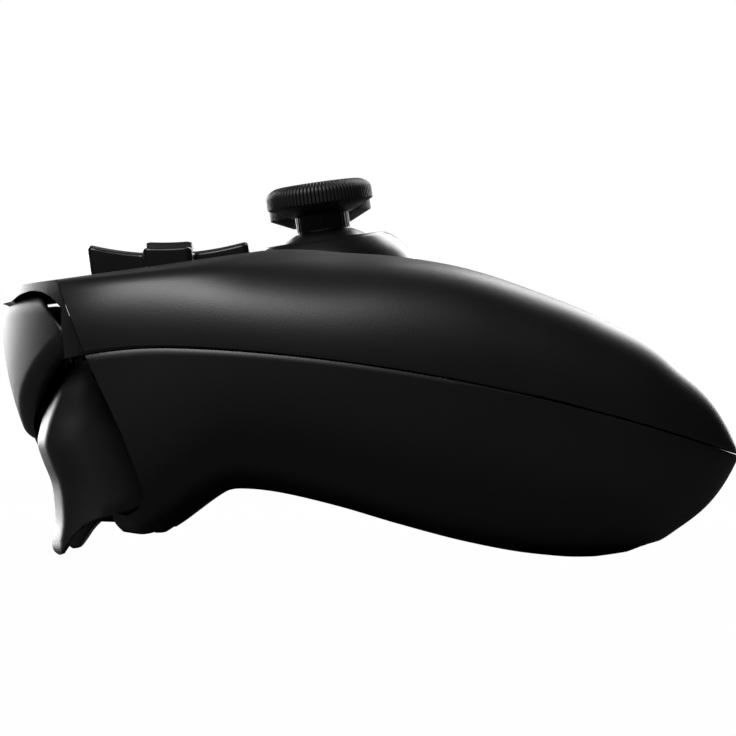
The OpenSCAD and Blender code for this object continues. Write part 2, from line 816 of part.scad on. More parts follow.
module bumper_pin(side) {
    color(metal_grey) sided(side) translate([bumper_pin_at[0], bumper_pin_at[1], lug_z[0]])
        cylinder(h = lug_z[1] + lug_h - lug_z[0], d = bumper_pin_d);
}

switch_at = [52.6, 42.05, 32.4];
switch_size = [2.8, 1.5, 3.4];
switch_key = 0.4;
switch_key_r = 0.8;

module bumper_switches() {
    color(metal_grey) for (side = [-1, 1]) sided(side) translate(switch_at) {
        cube(switch_size);
        translate([switch_size[0] / 2, switch_size[1], switch_size[2] / 2])
            bar_y(switch_key_r, -eps, switch_key);
    }
}

// Trigger outline: y, z, how far the point follows the front in plan, how far it reaches back outside
trigger_outline = [
    [42.6, 29, 0.2, 0], [43.4, 28.6, 0.3, 0], [45.3, 26.3, 0.6, 0], [46.9, 24, 0.8, 0],
    [48.3, 21, 1, 0], [49, 18.5, 1, 0], [49.2, 16.5, 1, 0], [48.4, 14, 1, 0], [47.2, 11, 1, 0],
    [46.7, 8, 1, 0], [46.6, 5, 1, 0], [47, 2.4, 1.06, 0], [46.9, 0.8, 1.06, 0], [46, 0, 1, 0],
    [45.2, 0.1, 0.9, 0], [44.2, 1.6, 0.78, 0], [43.3, 3, 0.67, 0], [41.7, 4.6, 0.48, 0],
    [40.1, 5.3, 0.28, 0], [37.8, 5.8, 0, 0], [36.1, 7.2, 0, 3], [35.2, 9.4, 0, 3.7],
    [35.2, 11.9, 0, 3.2], [36.9, 18.5, 0, 2.6], [40.6, 27, 0, 1.8], [41.3, 28.6, 0.1, 0.9]
];
// Underside that the tip slides up along towards the outer end
trigger_under = [
    [36.1, 7.2], [37.8, 5.8], [40.1, 5.3], [41.7, 4.6], [43.3, 3], [44.2, 1.6], [45.2, 0.1], [46, 0]
];
trigger_room = [
    [41.9, 26.2], [42.9, 24], [44, 21], [44.4, 18.5], [44.4, 16.5], [43.9, 14], [42.8, 11],
    [42.2, 8.4], [38.6, 7.9], [36.6, 9.4], [28, 10], [28, 31], [41, 31], [41.6, 28.2]
];
trigger_cheek = [
    [41, 28.9], [39, 29.6], [36.6, 28], [35, 24], [34.8, 19.4], [37, 18], [43, 16], [42, 26]
];
trigger_curve = 0.004;
trigger_round = 5;
trigger_side = 1.8;
trigger_outer_side = 3;
trigger_reach = [40, 52];
cheek_inset = 0.1;
cheek_outer = 0.9;
pivot_at = [39, 27];
hub_r = 2.6;
spring_span = [41.6, 45.4];
spring_room = 1.6;
hub_open = [spring_span[0] - spring_room, spring_span[1] + spring_room];
magnet_at = [37.2, 21.6];
magnet_r = 1.8;
magnet_h = 1.2;

// Plan of the trigger front: a slow curve, then a quarter circle to the outer end
function trigger_set_back(x) =
    let (into = max(x - trigger_out + trigger_round, 0))
    trigger_curve * pow(x - trigger_in, 2) + trigger_round - sqrt(pow(trigger_round, 2) - into * into);

function trigger_point(p, x) =
    let (y = p[0] - p[2] * trigger_set_back(x) - p[3] * ramp(x, trigger_reach[0], trigger_reach[1]))
    [x, y, max(p[1], p[3] > 0 ? 0 : lookup(y, trigger_under))];

function trigger_loop(x) = [for (p = trigger_outline) trigger_point(p, x)];

trigger_xs = concat(
    [for (i = [0 : 4]) trigger_in + (trigger_out - trigger_round - trigger_in) * i / 4],
    [for (a = [25, 45, 65, 80, 90]) trigger_out - trigger_round * (1 - sin(a))]
);

module at_pivot() {
    translate([0, pivot_at[0], pivot_at[1]]) children();
}

module trigger(side) {
    color(shell_black) sided(side) difference() {
        union() {
            difference() {
                skin([for (x = trigger_xs) trigger_loop(x)], false);
                along_x(trigger_in + trigger_side, trigger_out - trigger_outer_side) polygon(trigger_room);
            }
            along_x(trigger_in + cheek_inset, trigger_in + trigger_side - cheek_inset)
                polygon(trigger_cheek);
            along_x(trigger_out - trigger_outer_side + cheek_inset, trigger_out - cheek_outer)
                polygon(trigger_cheek);
            at_pivot() bar_x(hub_r, trigger_in + trigger_side / 2, hub_open[0]);
            at_pivot() bar_x(hub_r, hub_open[1], trigger_out - trigger_outer_side / 2);
        }
        at_pivot() bar_x(pin_d / 2 + turn_gap, trigger_in - 1, trigger_out + 1);
        translate([0, magnet_at[0], magnet_at[1]])
            bar_x(magnet_r + eps, trigger_in - 1, trigger_in + magnet_h + eps);
    }
}

ear_t = 2;
ear_gap = 0.6;
ear_in = trigger_in - ear_gap - ear_t;
ear_out = trigger_out + ear_gap;

module trigger_pin(side) {
    color(metal_grey) sided(side) at_pivot() bar_x(pin_d / 2, ear_in, ear_out + ear_t);
}

// Torsion spring on the pin: coil between two straight legs
spring_r = 1.85;
wire_r = 0.25;
spring_turns = 3;
leg_turn = 115;
leg_down = 6;
leg_back = 10.9;

function spring_spot(a, f, slide) =
    [spring_span[0] + (spring_span[1] - spring_span[0]) * f,
        pivot_at[0] + spring_r * cos(a) + slide * sin(a),
        pivot_at[1] + spring_r * sin(a) - slide * cos(a)];

function wire_loop(a, f, slide) =
    [for (k = [0 : 5]) spring_spot(a, f, slide)
        + wire_r * [sin(60 * k), cos(60 * k) * cos(a), cos(60 * k) * sin(a)]];

module trigger_spring(side) {
    start = 20;
    sweep = 360 * spring_turns + leg_turn - start;
    steps = 56;
    color(metal_grey) sided(side) skin(concat(
        [wire_loop(start, 0, leg_down)],
        [for (i = [0 : steps]) wire_loop(start + sweep * i / steps, i / steps, 0)],
        [wire_loop(start + sweep, 1, -leg_back)]
    ), false);
}

module trigger_magnet(side) {
    color(metal_grey) sided(side) translate([0, magnet_at[0], magnet_at[1]])
        bar_x(magnet_r, trigger_in, trigger_in + magnet_h);
}

ear_inner = [
    [26, bracket_foot_z], [28, bracket_foot_z], [31, 18.5], [39.6, 18.5], [40.4, 22], [41.2, 27],
    [40.6, 28.6], [39, 29.2], [36, bracket_top_z], [26, bracket_top_z]
];
ear_outer = [
    [26, bracket_foot_z], [28, bracket_foot_z], [31, 20], [37, 24.2], [40.6, 25.4], [41.2, 27],
    [40.6, 28.6], [39, 29.2], [36, bracket_top_z], [26, bracket_top_z]
];
switch_arm = [
    [26, 25], [27.5, 25], [35, 28.6], [37, 30.6], [42, 30.8], [42, 36.2], [40.3, 36.2], [40.3, 32.4],
    [36, 32.2], [33.6, 29.8], [26, bracket_top_z]
];
bracket_foot_t = 1.6;
sensor_size = 3.6;
sensor_t = 1;
sensor_room = sensor_size + 2 * eps;

module trigger_bracket(side) {
    color(part_black) sided(side) difference() {
        union() {
            along_x(ear_in, ear_in + ear_t) polygon(ear_inner);
            along_x(ear_out, ear_out + ear_t) polygon(ear_outer);
            translate([ear_in, 26, bracket_foot_z])
                cube([ear_out + ear_t - ear_in, 2, bracket_top_z - bracket_foot_z]);
            translate([ear_in, 21.5, bracket_foot_z])
                cube([ear_out + ear_t - ear_in, 6.5, bracket_foot_t]);
            along_x(switch_at[0] - 0.1, switch_at[0] + switch_size[0] + 0.1) polygon(switch_arm);
        }
        at_pivot() bar_x(pin_d / 2 + eps, ear_in - 1, ear_out + ear_t + 1);
        for (p = bracket_posts) translate([p[0], p[1], bracket_foot_z - 1])
            cylinder(h = 4, d = small_screw_d + 0.3);
        translate([ear_in + ear_t - sensor_t, magnet_at[0], magnet_at[1]] - sensor_room / 2 * [0, 1, 1])
            cube([2, sensor_room, sensor_room]);
    }
}

module trigger_sensors() {
    color(board_green) for (side = [-1, 1]) sided(side)
        translate([ear_in + ear_t - sensor_t, magnet_at[0] - sensor_size / 2, magnet_at[1] - sensor_size / 2])
        cube([sensor_t, sensor_size, sensor_size]);
}

module housing_screws() {
    color(metal_grey) for (side = [-1, 1], b = boss_spots) translate([side * b[0], b[1], b[2]]) difference() {
        union() {
            translate([0, 0, -head_h]) cylinder(h = head_h, r = head_r);
            translate([0, 0, -eps]) cylinder(h = b[3] + screw_into - b[2], d = screw_d);
        }
        for (turn = [0, 90]) rotate([0, 0, turn]) translate([-1.3, -0.3, -head_h - 1]) cube([2.6, 0.6, 1.9]);
    }
}

// Small screw with its head at the origin and the shank along z
module small_screw(l) {
    translate([0, 0, -1.2]) cylinder(h = 1.2, r = 1.9);
    translate([0, 0, -eps]) cylinder(h = l, d = small_screw_d);
}

module board_screws() {
    color(metal_grey) for (side = [-1, 1]) {
        on_face() for (b = board_bosses) translate([side * b[0], b[1], board_w - board_t]) small_screw(6);
        for (p = bracket_posts) translate([side * p[0], p[1], bracket_foot_z + bracket_foot_t])
            rotate([180, 0, 0]) small_screw(4.3);
    }
}

top_shell();
bottom_shell();
front_bridge();
stick_collar(-1);  // left_stick_collar
stick_collar(1);  // right_stick_collar
main_board();
board_chips();
battery_cell();
usb_socket();
stick_base(-1);  // left_stick_base
stick_base(1);  // right_stick_base
stick_carrier(-1);  // left_stick_carrier
stick_carrier(1);  // right_stick_carrier
stick_rocker(-1);  // left_stick_rocker
stick_rocker(1);  // right_stick_rocker
stick_post(-1);  // left_stick_post
stick_post(1);  // right_stick_post
stick_stem(-1);  // left_stick_stem
stick_stem(1);  // right_stick_stem
stick_cap(-1);  // left_stick_cap
stick_cap(1);  // right_stick_cap
stick_sensors();
stick_switches();
dpad_cap();
dpad_ball();
dpad_post();
dpad_membrane();
face_button(face_buttons[0]);  // north_button
face_button(face_buttons[1]);  // east_button
face_button(face_buttons[2]);  // south_button
face_button(face_buttons[3]);  // west_button
button_membrane();
menu_button(-1);  // left_menu_button
menu_button(1);  // right_menu_button
home_button();
middle_membrane();
status_light();
bumper(-1);  // left_bumper
bumper(1);  // right_bumper
bumper_pin(-1);  // left_bumper_pin
bumper_pin(1);  // right_bumper_pin
bumper_switches();
trigger(-1);  // left_trigger
trigger(1);  // right_trigger
trigger_pin(-1);  // left_trigger_pin
trigger_pin(1);  // right_trigger_pin
trigger_spring(-1);  // left_trigger_spring
trigger_spring(1);  // right_trigger_spring
trigger_magnet(-1);  // left_trigger_magnet
trigger_magnet(1);  // right_trigger_magnet
trigger_bracket(-1);  // left_trigger_bracket
trigger_bracket(1);  // right_trigger_bracket
trigger_sensors();
housing_screws();
board_screws();
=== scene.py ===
"""Gamepad controller: the looks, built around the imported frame.

X runs to the player's right, Y to the trigger side and Z up. Every new piece is a formula
on a numpy grid, written in millimetres and turned to metres when its mesh is made.
"""

import logging
import math
from dataclasses import dataclass, field
from enum import Enum
from typing import Callable, Iterable, Sequence

import bmesh
import bpy
import numpy as np
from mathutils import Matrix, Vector


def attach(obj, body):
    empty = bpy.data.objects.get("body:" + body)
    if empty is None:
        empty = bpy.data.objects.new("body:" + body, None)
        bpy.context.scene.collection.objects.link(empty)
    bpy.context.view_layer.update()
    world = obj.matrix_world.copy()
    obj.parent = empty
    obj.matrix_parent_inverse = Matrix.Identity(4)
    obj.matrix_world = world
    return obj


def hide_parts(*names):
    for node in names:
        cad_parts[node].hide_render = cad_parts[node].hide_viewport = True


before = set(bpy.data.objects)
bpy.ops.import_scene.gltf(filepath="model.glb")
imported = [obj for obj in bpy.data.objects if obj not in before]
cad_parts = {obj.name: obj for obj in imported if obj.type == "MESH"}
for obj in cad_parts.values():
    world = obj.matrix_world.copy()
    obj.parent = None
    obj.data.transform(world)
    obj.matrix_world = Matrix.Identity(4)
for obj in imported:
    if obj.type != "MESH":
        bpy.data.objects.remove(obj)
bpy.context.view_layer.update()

LOG = logging.getLogger("gamepad")
MM = 0.001
QUARTER = np.pi / 2.0
# Edges over this angle in degrees stay sharp; points nearer than these millimetres are merged.
CREASE = 35.0
WELD = 0.0005
CARVED_WELD = 0.002
# Half width in millimetres of a cutter that goes through the whole controller.
PAST_SIDES = 85.0
# Height in millimetres over the face up to which its cutters reach.
PAST_FACE = 7.0

Array = np.ndarray
Piece = bpy.types.Object
Material = bpy.types.Material
Tree = bpy.types.NodeTree
Socket = bpy.types.NodeSocket
Pair = tuple[float, float]
Spot = tuple[float, float, float]
Placer = Callable[[Array], Array]
Skin = Callable[[Array, Array, float], Array]


class Side(Enum):
    """Left or right half of the controller, as the sign of its X."""

    LEFT = -1
    RIGHT = 1

    @property
    def word(self) -> str:
        """Name of the side as the frame's nodes and bodies spell it."""
        return self.name.lower()

    def span(self, near: float, far: float) -> list[float]:
        """Two distances from the middle as values of X on this side, in rising order."""
        return sorted((self.value * near, self.value * far))


def ramp(value: Array, start: float, end: float) -> Array:
    """Smooth step from 0 at start to 1 at end: t squared times (3 - 2t)."""
    t = np.clip((value - start) / (end - start), 0.0, 1.0)
    return t * t * (3.0 - 2.0 * t)


def soft_min(a: Array, b: Array, blend: float) -> Array:
    """Smaller of two heights, with the crease between them rounded over the blend width."""
    h = np.maximum(blend - np.abs(a - b), 0.0) / blend
    return np.minimum(a, b) - h * h * blend / 4.0


def columns(*parts: Array | float) -> Array:
    """Coordinates side by side in a last axis, each spread to their common shape."""
    return np.stack(np.broadcast_arrays(*parts), -1)


def turns(count: int) -> Array:
    """Angles of equal steps round a circle."""
    return np.arange(count) * 2.0 * np.pi / count


def spline(table: Array, at: Array) -> Array:
    """Uniform Catmull-Rom curve through the rows of a table.

    Args:
        table: values or rows of values at whole parameters.
        at: parameters, from 1 to the last row but one.

    Returns:
        One value or row for each parameter.
    """
    k = np.clip(np.floor(at).astype(int), 1, len(table) - 3)
    f = at - k
    if table.ndim > 1:
        f = f[..., None]
    a, b, c, d = table[k - 1], table[k], table[k + 1], table[k + 2]
    bend = (2.0 * a - 5.0 * b + 4.0 * c - d) * f ** 2 + (3.0 * b - a - 3.0 * c + d) * f ** 3
    return (2.0 * b + (c - a) * f + bend) / 2.0


def closed_spline(points: Array, count: int) -> Array:
    """Closed Catmull-Rom curve through the points of a loop, with evenly spread parameters."""
    ring = np.concatenate([points[-1:], points, points[:3]])
    return spline(ring, 1.0 + np.arange(count) * len(points) / count)


def grid_quads(rows: int, cols: int, wrap_cols: bool = False, wrap_rows: bool = False) -> Array:
    """Quads of a grid whose points are numbered row by row.

    Args:
        rows: number of rows.
        cols: number of points in a row.
        wrap_cols: joins the last point of each row to its first.
        wrap_rows: joins the last row to the first.

    Returns:
        Array of four point numbers for each quad.
    """
    i = np.arange(rows if wrap_rows else rows - 1)[:, None]
    j = np.arange(cols if wrap_cols else cols - 1)[None, :]
    right, below = (j + 1) % cols, (i + 1) % rows
    i, below = i * cols, below * cols
    return columns(i + j, i + right, below + right, below + j).reshape(-1, 4)


def end_quads(cols: int, first: int) -> Array:
    """Quads across a loop that runs out on one edge and back on the other: j to its partner."""
    j = np.arange(cols // 2 - 1)
    return first + columns(j, j + 1, cols - 2 - j, cols - 1 - j)


def link(name: str, data: bpy.types.ID) -> Piece:
    """New object of the scene, at the origin, for a mesh, a lamp or a camera.

    Args:
        name: name of the object.
        data: its mesh, lamp or camera.

    Returns:
        The new object.
    """
    piece = bpy.data.objects.new(name, data)
    bpy.context.scene.collection.objects.link(piece)
    return piece


def make_piece(name: str, points: Array, faces: list, weld: float = 0.0, crease: float = CREASE) -> Piece:
    """Mesh object from points in millimetres.

    Args:
        name: name of the piece.
        points: array of points, any shape that ends in 3.
        faces: point numbers of each face.
        weld: distance in millimetres under which points are merged, 0 for none.
        crease: angle in degrees over which an edge stays sharp.

    Returns:
        The new object, at the origin, with smooth faces that point outwards.
    """
    mesh = bpy.data.meshes.new(name)
    mesh.from_pydata((points.reshape(-1, 3) * MM).tolist(), [], faces)
    tidy_mesh(mesh, weld, crease)
    return link(name, mesh)


def tidy_mesh(mesh: bpy.types.Mesh, weld: float, crease: float = CREASE) -> None:
    """Merges doubles, drops faces without area, turns faces outwards and sets the shading.

    Args:
        mesh: mesh that is changed.
        weld: distance in millimetres under which points are merged, 0 for none.
        crease: angle in degrees over which an edge stays sharp.
    """
    work = bmesh.new()
    work.from_mesh(mesh)
    if weld > 0:
        bmesh.ops.remove_doubles(work, verts=work.verts, dist=weld * MM)
        bmesh.ops.dissolve_degenerate(work, edges=work.edges, dist=weld * MM * 0.1)
    bmesh.ops.recalc_face_normals(work, faces=work.faces)
    work.to_mesh(mesh)
    work.free()
    mesh.polygons.foreach_set("use_smooth", np.ones(len(mesh.polygons), dtype=bool))
    mesh.set_sharp_from_angle(angle=math.radians(crease))
    mesh.update()


def loft(name: str, loops: Array, weld: float = 0.0) -> Piece:
    """Closed solid through equal loops, each of which runs out and back; both ends are closed.

    Args:
        name: name of the piece.
        loops: array of loops by points by 3.
        weld: merge distance in millimetres.

    Returns:
        The new object.
    """
    rows, cols = loops.shape[:2]
    sides = grid_quads(rows, cols, wrap_cols=True)
    ends = [end_quads(cols, 0)[:, ::-1], end_quads(cols, (rows - 1) * cols)]
    return make_piece(name, loops, np.concatenate([sides, *ends]).tolist(), weld)


def ring_loft(name: str, loops: Array) -> Piece:
    """Closed solid through equal loops of any outline, with a flat face over each end.

    Args:
        name: name of the piece.
        loops: array of loops by points by 3.

    Returns:
        The new object.
    """
    rows, cols = loops.shape[:2]
    ends = [list(range(cols))[::-1], list(range((rows - 1) * cols, rows * cols))]
    return make_piece(name, loops, grid_quads(rows, cols, wrap_cols=True).tolist() + ends)


def revolve(name: str, profile: Array, count: int, place: Placer, swell: Array | float = 0.0,
            crease: float = CREASE) -> Piece:
    """Solid of revolution about the face normal.

    Args:
        name: name of the piece.
        profile: radius and height rows; it starts and ends on the axis or is a closed ring.
        count: points round the axis.
        place: moves face-frame points to the body frame.
        swell: extra radius for each profile point and angle, for ribs and flutes.
        crease: angle in degrees over which an edge stays sharp.

    Returns:
        The new object.
    """
    turn, radius = turns(count), profile[:, :1] + swell
    points = columns(radius * np.cos(turn), radius * np.sin(turn), profile[:, 1:])
    ring = bool(np.all(profile[:, 0] > 1e-6))
    faces = grid_quads(len(profile), count, wrap_cols=True, wrap_rows=ring).tolist()
    return make_piece(name, place(points), faces, WELD, crease)


def prism(name: str, outline: Sequence[Sequence[float]], x0: float, x1: float) -> Piece:
    """Side outline in Y and Z drawn out along X from x0 to x1."""
    y, z = np.asarray(outline, dtype=float).T
    return ring_loft(name, np.stack([columns(x, y, z) for x in (x0, x1)]))


def box(name: str, y: Sequence[float], z: Sequence[float], x0: float, x1: float) -> Piece:
    """Box between two values of Y, Z and X."""
    return prism(name, [(y[0], z[0]), (y[1], z[0]), (y[1], z[1]), (y[0], z[1])], x0, x1)


def carve(piece: Piece, tools: Iterable[Piece], how: str = "DIFFERENCE") -> Piece:
    """Cuts, joins or keeps a piece with each tool in turn and removes the tools.

    Args:
        piece: closed solid that is changed.
        tools: closed solids.
        how: DIFFERENCE, UNION or INTERSECT.

    Returns:
        The same piece, with the result in its mesh.
    """
    for tool in tools:
        cut = piece.modifiers.new("carve", "BOOLEAN")
        cut.object, cut.operation, cut.solver = tool, how, "MANIFOLD"
        graph = bpy.context.evaluated_depsgraph_get()
        done = bpy.data.meshes.new_from_object(piece.evaluated_get(graph))
        piece.modifiers.clear()
        old, piece.data = piece.data, done
        done.name = piece.name
        bpy.data.meshes.remove(old)
        bpy.data.objects.remove(tool)
    tidy_mesh(piece.data, CARVED_WELD)
    return piece


def mirrored(piece: Piece, name: str) -> Piece:
    """Copy of a piece on the other side: X changes sign and the faces are turned over.

    Args:
        piece: piece that is copied.
        name: name of the copy.

    Returns:
        The copy.
    """
    mesh = piece.data.copy()
    mesh.name = name
    spots = np.empty(len(mesh.vertices) * 3)
    mesh.vertices.foreach_get("co", spots)
    spots[0::3] *= -1.0
    mesh.vertices.foreach_set("co", spots)
    mesh.flip_normals()
    mesh.update()
    return link(name, mesh)


@dataclass
class Body:
    """Outer form shared by the shells and the bridge: plan, crest, belly, seam and face.

    A section runs across one half from the inner to the outer line of the plan. Its upper
    side is a superellipse between seam and crest, cut by the tilted face; its lower side is
    one between seam and belly.
    """

    plan: Array = field(default_factory=lambda: np.array([
        [-24, 64, -12, -14.2, 3, 3], [0, 66, 0, -14, 3, 3], [24, 64, 12, -14.2, 3, 3.2],
        [47, 58, 22, -15.5, 2.8, 4], [64, 45.5, 30, -19, 2.5, 4], [72, 28, 36, -25, 2.3, 3],
        [74.88, 8, 40.5, -32, 2.2, 2.5], [74.3, -14, 44.5, -39, 2.2, 2.3],
        [71, -36, 49, -46, 2.1, 2.2], [66.5, -48.5, 54, -51.8, 2, 2],
        [61, -54.9, 59.4, -54.9, 2, 2], [55, -57, 64, -56, 2, 2]], dtype=float))
    crest: Array = field(default_factory=lambda: np.array(
        [-26, 15.3, 28.7, 35, 39.2, 42.5, 44.3, 45.1, 46.6, 49.2, 50, 50, 50, 50, 50]))
    belly: Array = field(default_factory=lambda: np.array(
        [47.6, 14.7, 3.4, 0.2, 0.45, 2.2, 4.8, 7.7, 9.8, 10, 10, 10, 10, 10, 10]))
    profile_start: float = -65.0
    profile_step: float = 10.0
    seam_top: Pair = (28.7, 30.8)
    seam_slope: float = 0.045
    seam_soft: float = 8.0
    seam_bend: Pair = (0.00172, 0.0069)
    crest_lift: float = 4.0
    crest_lift_x: Pair = (24.0, 42.0)
    crest_lift_y: Pair = (-14.0, 6.0)
    belly_lift: float = 3.0
    belly_lift_x: Pair = (14.0, 34.0)
    belly_lift_y: Pair = (-10.0, 10.0)
    ground: float = 0.02
    bulge: float = 7.8
    bulge_x: Pair = (24.0, 34.0)
    bulge_y: Pair = (18.5, 33.5)
    bulge_lag: float = 0.75
    wall: float = 2.2
    least_rise: float = 0.15
    most_inset: float = 0.35
    tilt: float = math.radians(8.0)
    face_y: float = 5.9
    face_z: float = 47.5
    face_drop: float = -0.4
    face_crown: float = 0.00017
    face_fall: float = 0.003
    face_fall_x: float = 50.0
    face_blend: float = 1.6
    stations: int = 90
    steps: int = 150
    bend_pull: float = 7.0
    bend_most: float = 0.3
    seam_pull: float = 0.25
    seam_gap: float = 0.16
    seam_round: float = 0.35

    def seam(self, y: Array) -> Array:
        """Height of the seam line: a slow fall to the tail and a quick one to the front.

        Args:
            y: places along the body.

        Returns:
            Height at each place.
        """
        d = self.seam_top[0] - y
        soft = (d + np.sqrt(d * d + self.seam_soft ** 2)) / 2.0
        return self.seam_top[1] - self.seam_slope * soft - np.where(d > 0, *self.seam_bend) * d * d

    def face(self, x: Array, y: Array) -> Array:
        """Height of the tilted face, crowned over the width and falling beside the keys.

        Args:
            x: places across.
            y: places along the body.

        Returns:
            Height at each place.
        """
        fall = self.face_fall * np.maximum(np.abs(x) - self.face_fall_x, 0.0) ** 2
        drop = (self.face_drop - self.face_crown * x * x - fall) / math.cos(self.tilt)
        return self.face_z - (y - self.face_y) * math.tan(self.tilt) + drop

    def side_profile(self, table: Array, y: Array) -> Array:
        """Value of a side profile at Y."""
        return spline(table, (y - self.profile_start) / self.profile_step)

    def crest_at(self, x: Array, y: Array) -> Array:
        """Crest height: the side profile, lifted in the middle of the face."""
        lift = (1.0 - ramp(np.abs(x), *self.crest_lift_x)) * ramp(y, *self.crest_lift_y)
        return self.side_profile(self.crest, y) + self.crest_lift * lift

    def belly_at(self, x: Array, y: Array, lag: float) -> Array:
        """Belly height: the side profile, lifted in the middle, bulged down at the triggers.

        Args:
            x: places across.
            y: places along the body.
            lag: how far the bulge's rise is moved out and forward.

        Returns:
            Height at each place.
        """
        lift = (1.0 - ramp(np.abs(x), *self.belly_lift_x)) * ramp(y, *self.belly_lift_y)
        bulge = ramp(np.abs(x) - lag, *self.bulge_x) * ramp(y - lag, *self.bulge_y)
        return self.side_profile(self.belly, y) + self.belly_lift * lift - self.bulge * bulge

    def rows(self, t: Array) -> Array:
        """Plan rows at t from -1, the left tip, over 0, the middle, to 1, the right tip.

        Args:
            t: places along the plan.

        Returns:
            Outer x and y, inner x and y and both exponents for each place.
        """
        rows = spline(self.plan, 1.0 + (len(self.plan) - 3) * np.abs(t))
        rows[..., [0, 2]] *= np.where(t < 0, -1.0, 1.0)[..., None]
        return rows

    def upper(self, row: Array, angle: Array, sunk: float) -> Array:
        """Point of the upper skin: at an angle of its superellipse, sunk by the wall.

        Args:
            row: plan rows.
            angle: 0 at the inner seam to pi at the outer seam.
            sunk: depth under the outer skin.

        Returns:
            Array of points.
        """
        x, y, high = self.spread(row, angle, row[..., 4], sunk)
        base = self.seam(y)
        rise = self.crest_at(x, y) - base
        dome = np.maximum(rise - sunk, self.least_rise * rise) * high + base
        z = np.maximum(soft_min(self.face(x, y) - sunk, dome, self.face_blend), base)
        return columns(x, y, z)

    def lower(self, row: Array, angle: Array, sunk: float) -> Array:
        """Point of the lower skin, as for the upper one.

        Args:
            row: plan rows.
            angle: 0 at the inner seam to pi at the outer seam.
            sunk: depth under the outer skin.

        Returns:
            Array of points.
        """
        x, y, high = self.spread(row, angle, row[..., 5], sunk)
        base = self.seam(y)
        fall = base - self.belly_at(x, y, self.bulge_lag * sunk)
        z = np.maximum(base - np.maximum(fall - sunk, self.least_rise * fall) * high, self.ground)
        return columns(x, y, z)

    def spread(self, row: Array, angle: Array, n: Array, sunk: float) -> tuple[Array, Array, Array]:
        """Plan place and relative height on a superellipse |c|^n + h^n = 1.

        Args:
            row: plan rows.
            angle: angles of the superellipse.
            n: its exponent.
            sunk: depth under the outer skin.

        Returns:
            X, Y and the relative height.
        """
        c, high = np.cos(angle), np.abs(np.sin(angle)) ** (2.0 / n)
        s = (1.0 - np.sign(c) * np.abs(c) ** (2.0 / n)) / 2.0
        if sunk > 0:
            width = np.hypot(row[..., 0] - row[..., 2], row[..., 1] - row[..., 3])
            share = np.minimum(sunk / width, self.most_inset)
            s = share + (1.0 - 2.0 * share) * s
        x = row[..., 2] + (row[..., 0] - row[..., 2]) * s
        y = row[..., 3] + (row[..., 1] - row[..., 3]) * s
        return x, y, high

    def spaced(self, skin: Skin, row: Array) -> Array:
        """Angles of one section, crowded where the skin bends and along the seam.

        Args:
            skin: upper or lower.
            row: one plan row.

        Returns:
            steps + 1 angles from 0 to pi.
        """
        u = np.linspace(0.0, 1.0, 4001)
        angle = np.pi * u - np.sin(2.0 * np.pi * u) / 2.0
        leg = np.diff(skin(row, angle, 0.0), axis=0)
        length = np.linalg.norm(leg, axis=1) + 1e-9
        heading = leg / length[:, None]
        bend = np.concatenate([[0.0], np.linalg.norm(np.diff(heading, axis=0), axis=1)])
        weight = length + self.bend_pull * np.minimum(bend, self.bend_most)
        way = np.concatenate([[0.0], np.cumsum(weight)])
        even = np.linspace(0.0, 1.0, self.steps + 1)
        near = 0.5 * (1.0 - np.cos(np.pi * even))
        return np.interp((even + self.seam_pull * (near - even)) * way[-1], way, angle)

    def shell_loops(self, skin: Skin, up: float) -> Array:
        """Loops of one shell: the outer skin out, the inner one back, with a rounded seam edge.

        Args:
            skin: upper or lower.
            up: 1 for the upper shell, -1 for the lower one.

        Returns:
            Array of loops by points by 3.
        """
        rows = self.rows(np.linspace(-1.0, 1.0, 2 * self.stations + 1))
        angle = np.stack([self.spaced(skin, row) for row in rows])
        row = rows[:, None, :]
        outer, inner = skin(row, angle, 0.0), skin(row, angle, self.wall)
        across = outer[:, -1:, :2] - outer[:, :1, :2]
        width = np.linalg.norm(across, axis=-1, keepdims=True)
        way = across / width
        side = np.where(angle < QUARTER, 1.0, -1.0)
        for skin_points, inset in ((outer, 1.0), (inner, 0.0)):
            base = self.seam(skin_points[..., 1])
            over = up * (skin_points[..., 2] - base)
            lifted = np.maximum(over, self.seam_gap / 2.0)
            near = np.clip(1.0 - (lifted - self.seam_gap / 2.0) / self.seam_round, 0.0, 1.0)
            pull = self.seam_round * (1.0 - np.sqrt(1.0 - near ** 2)) * inset
            pull = np.minimum(pull, 0.2 * width[..., 0])
            skin_points[..., :2] += way * (side * pull)[..., None]
            skin_points[..., 2] = base + up * lifted
        return np.concatenate([outer, inner[:, ::-1]], axis=1)

    def on_face(self, points: Array) -> Array:
        """Moves points from the face frame (x, along the face, its normal) to the body frame.

        Args:
            points: points in the face frame.

        Returns:
            Points in the body frame.
        """
        c, s = math.cos(self.tilt), math.sin(self.tilt)
        x, v, w = points[..., 0], points[..., 1], points[..., 2]
        return columns(x, self.face_y + v * c + w * s, self.face_z - v * s + w * c)

    def at(self, x: float, v: float) -> Placer:
        """Placer of points about a spot of the face frame."""
        return lambda points: self.on_face(points + np.array([x, v, 0.0]))

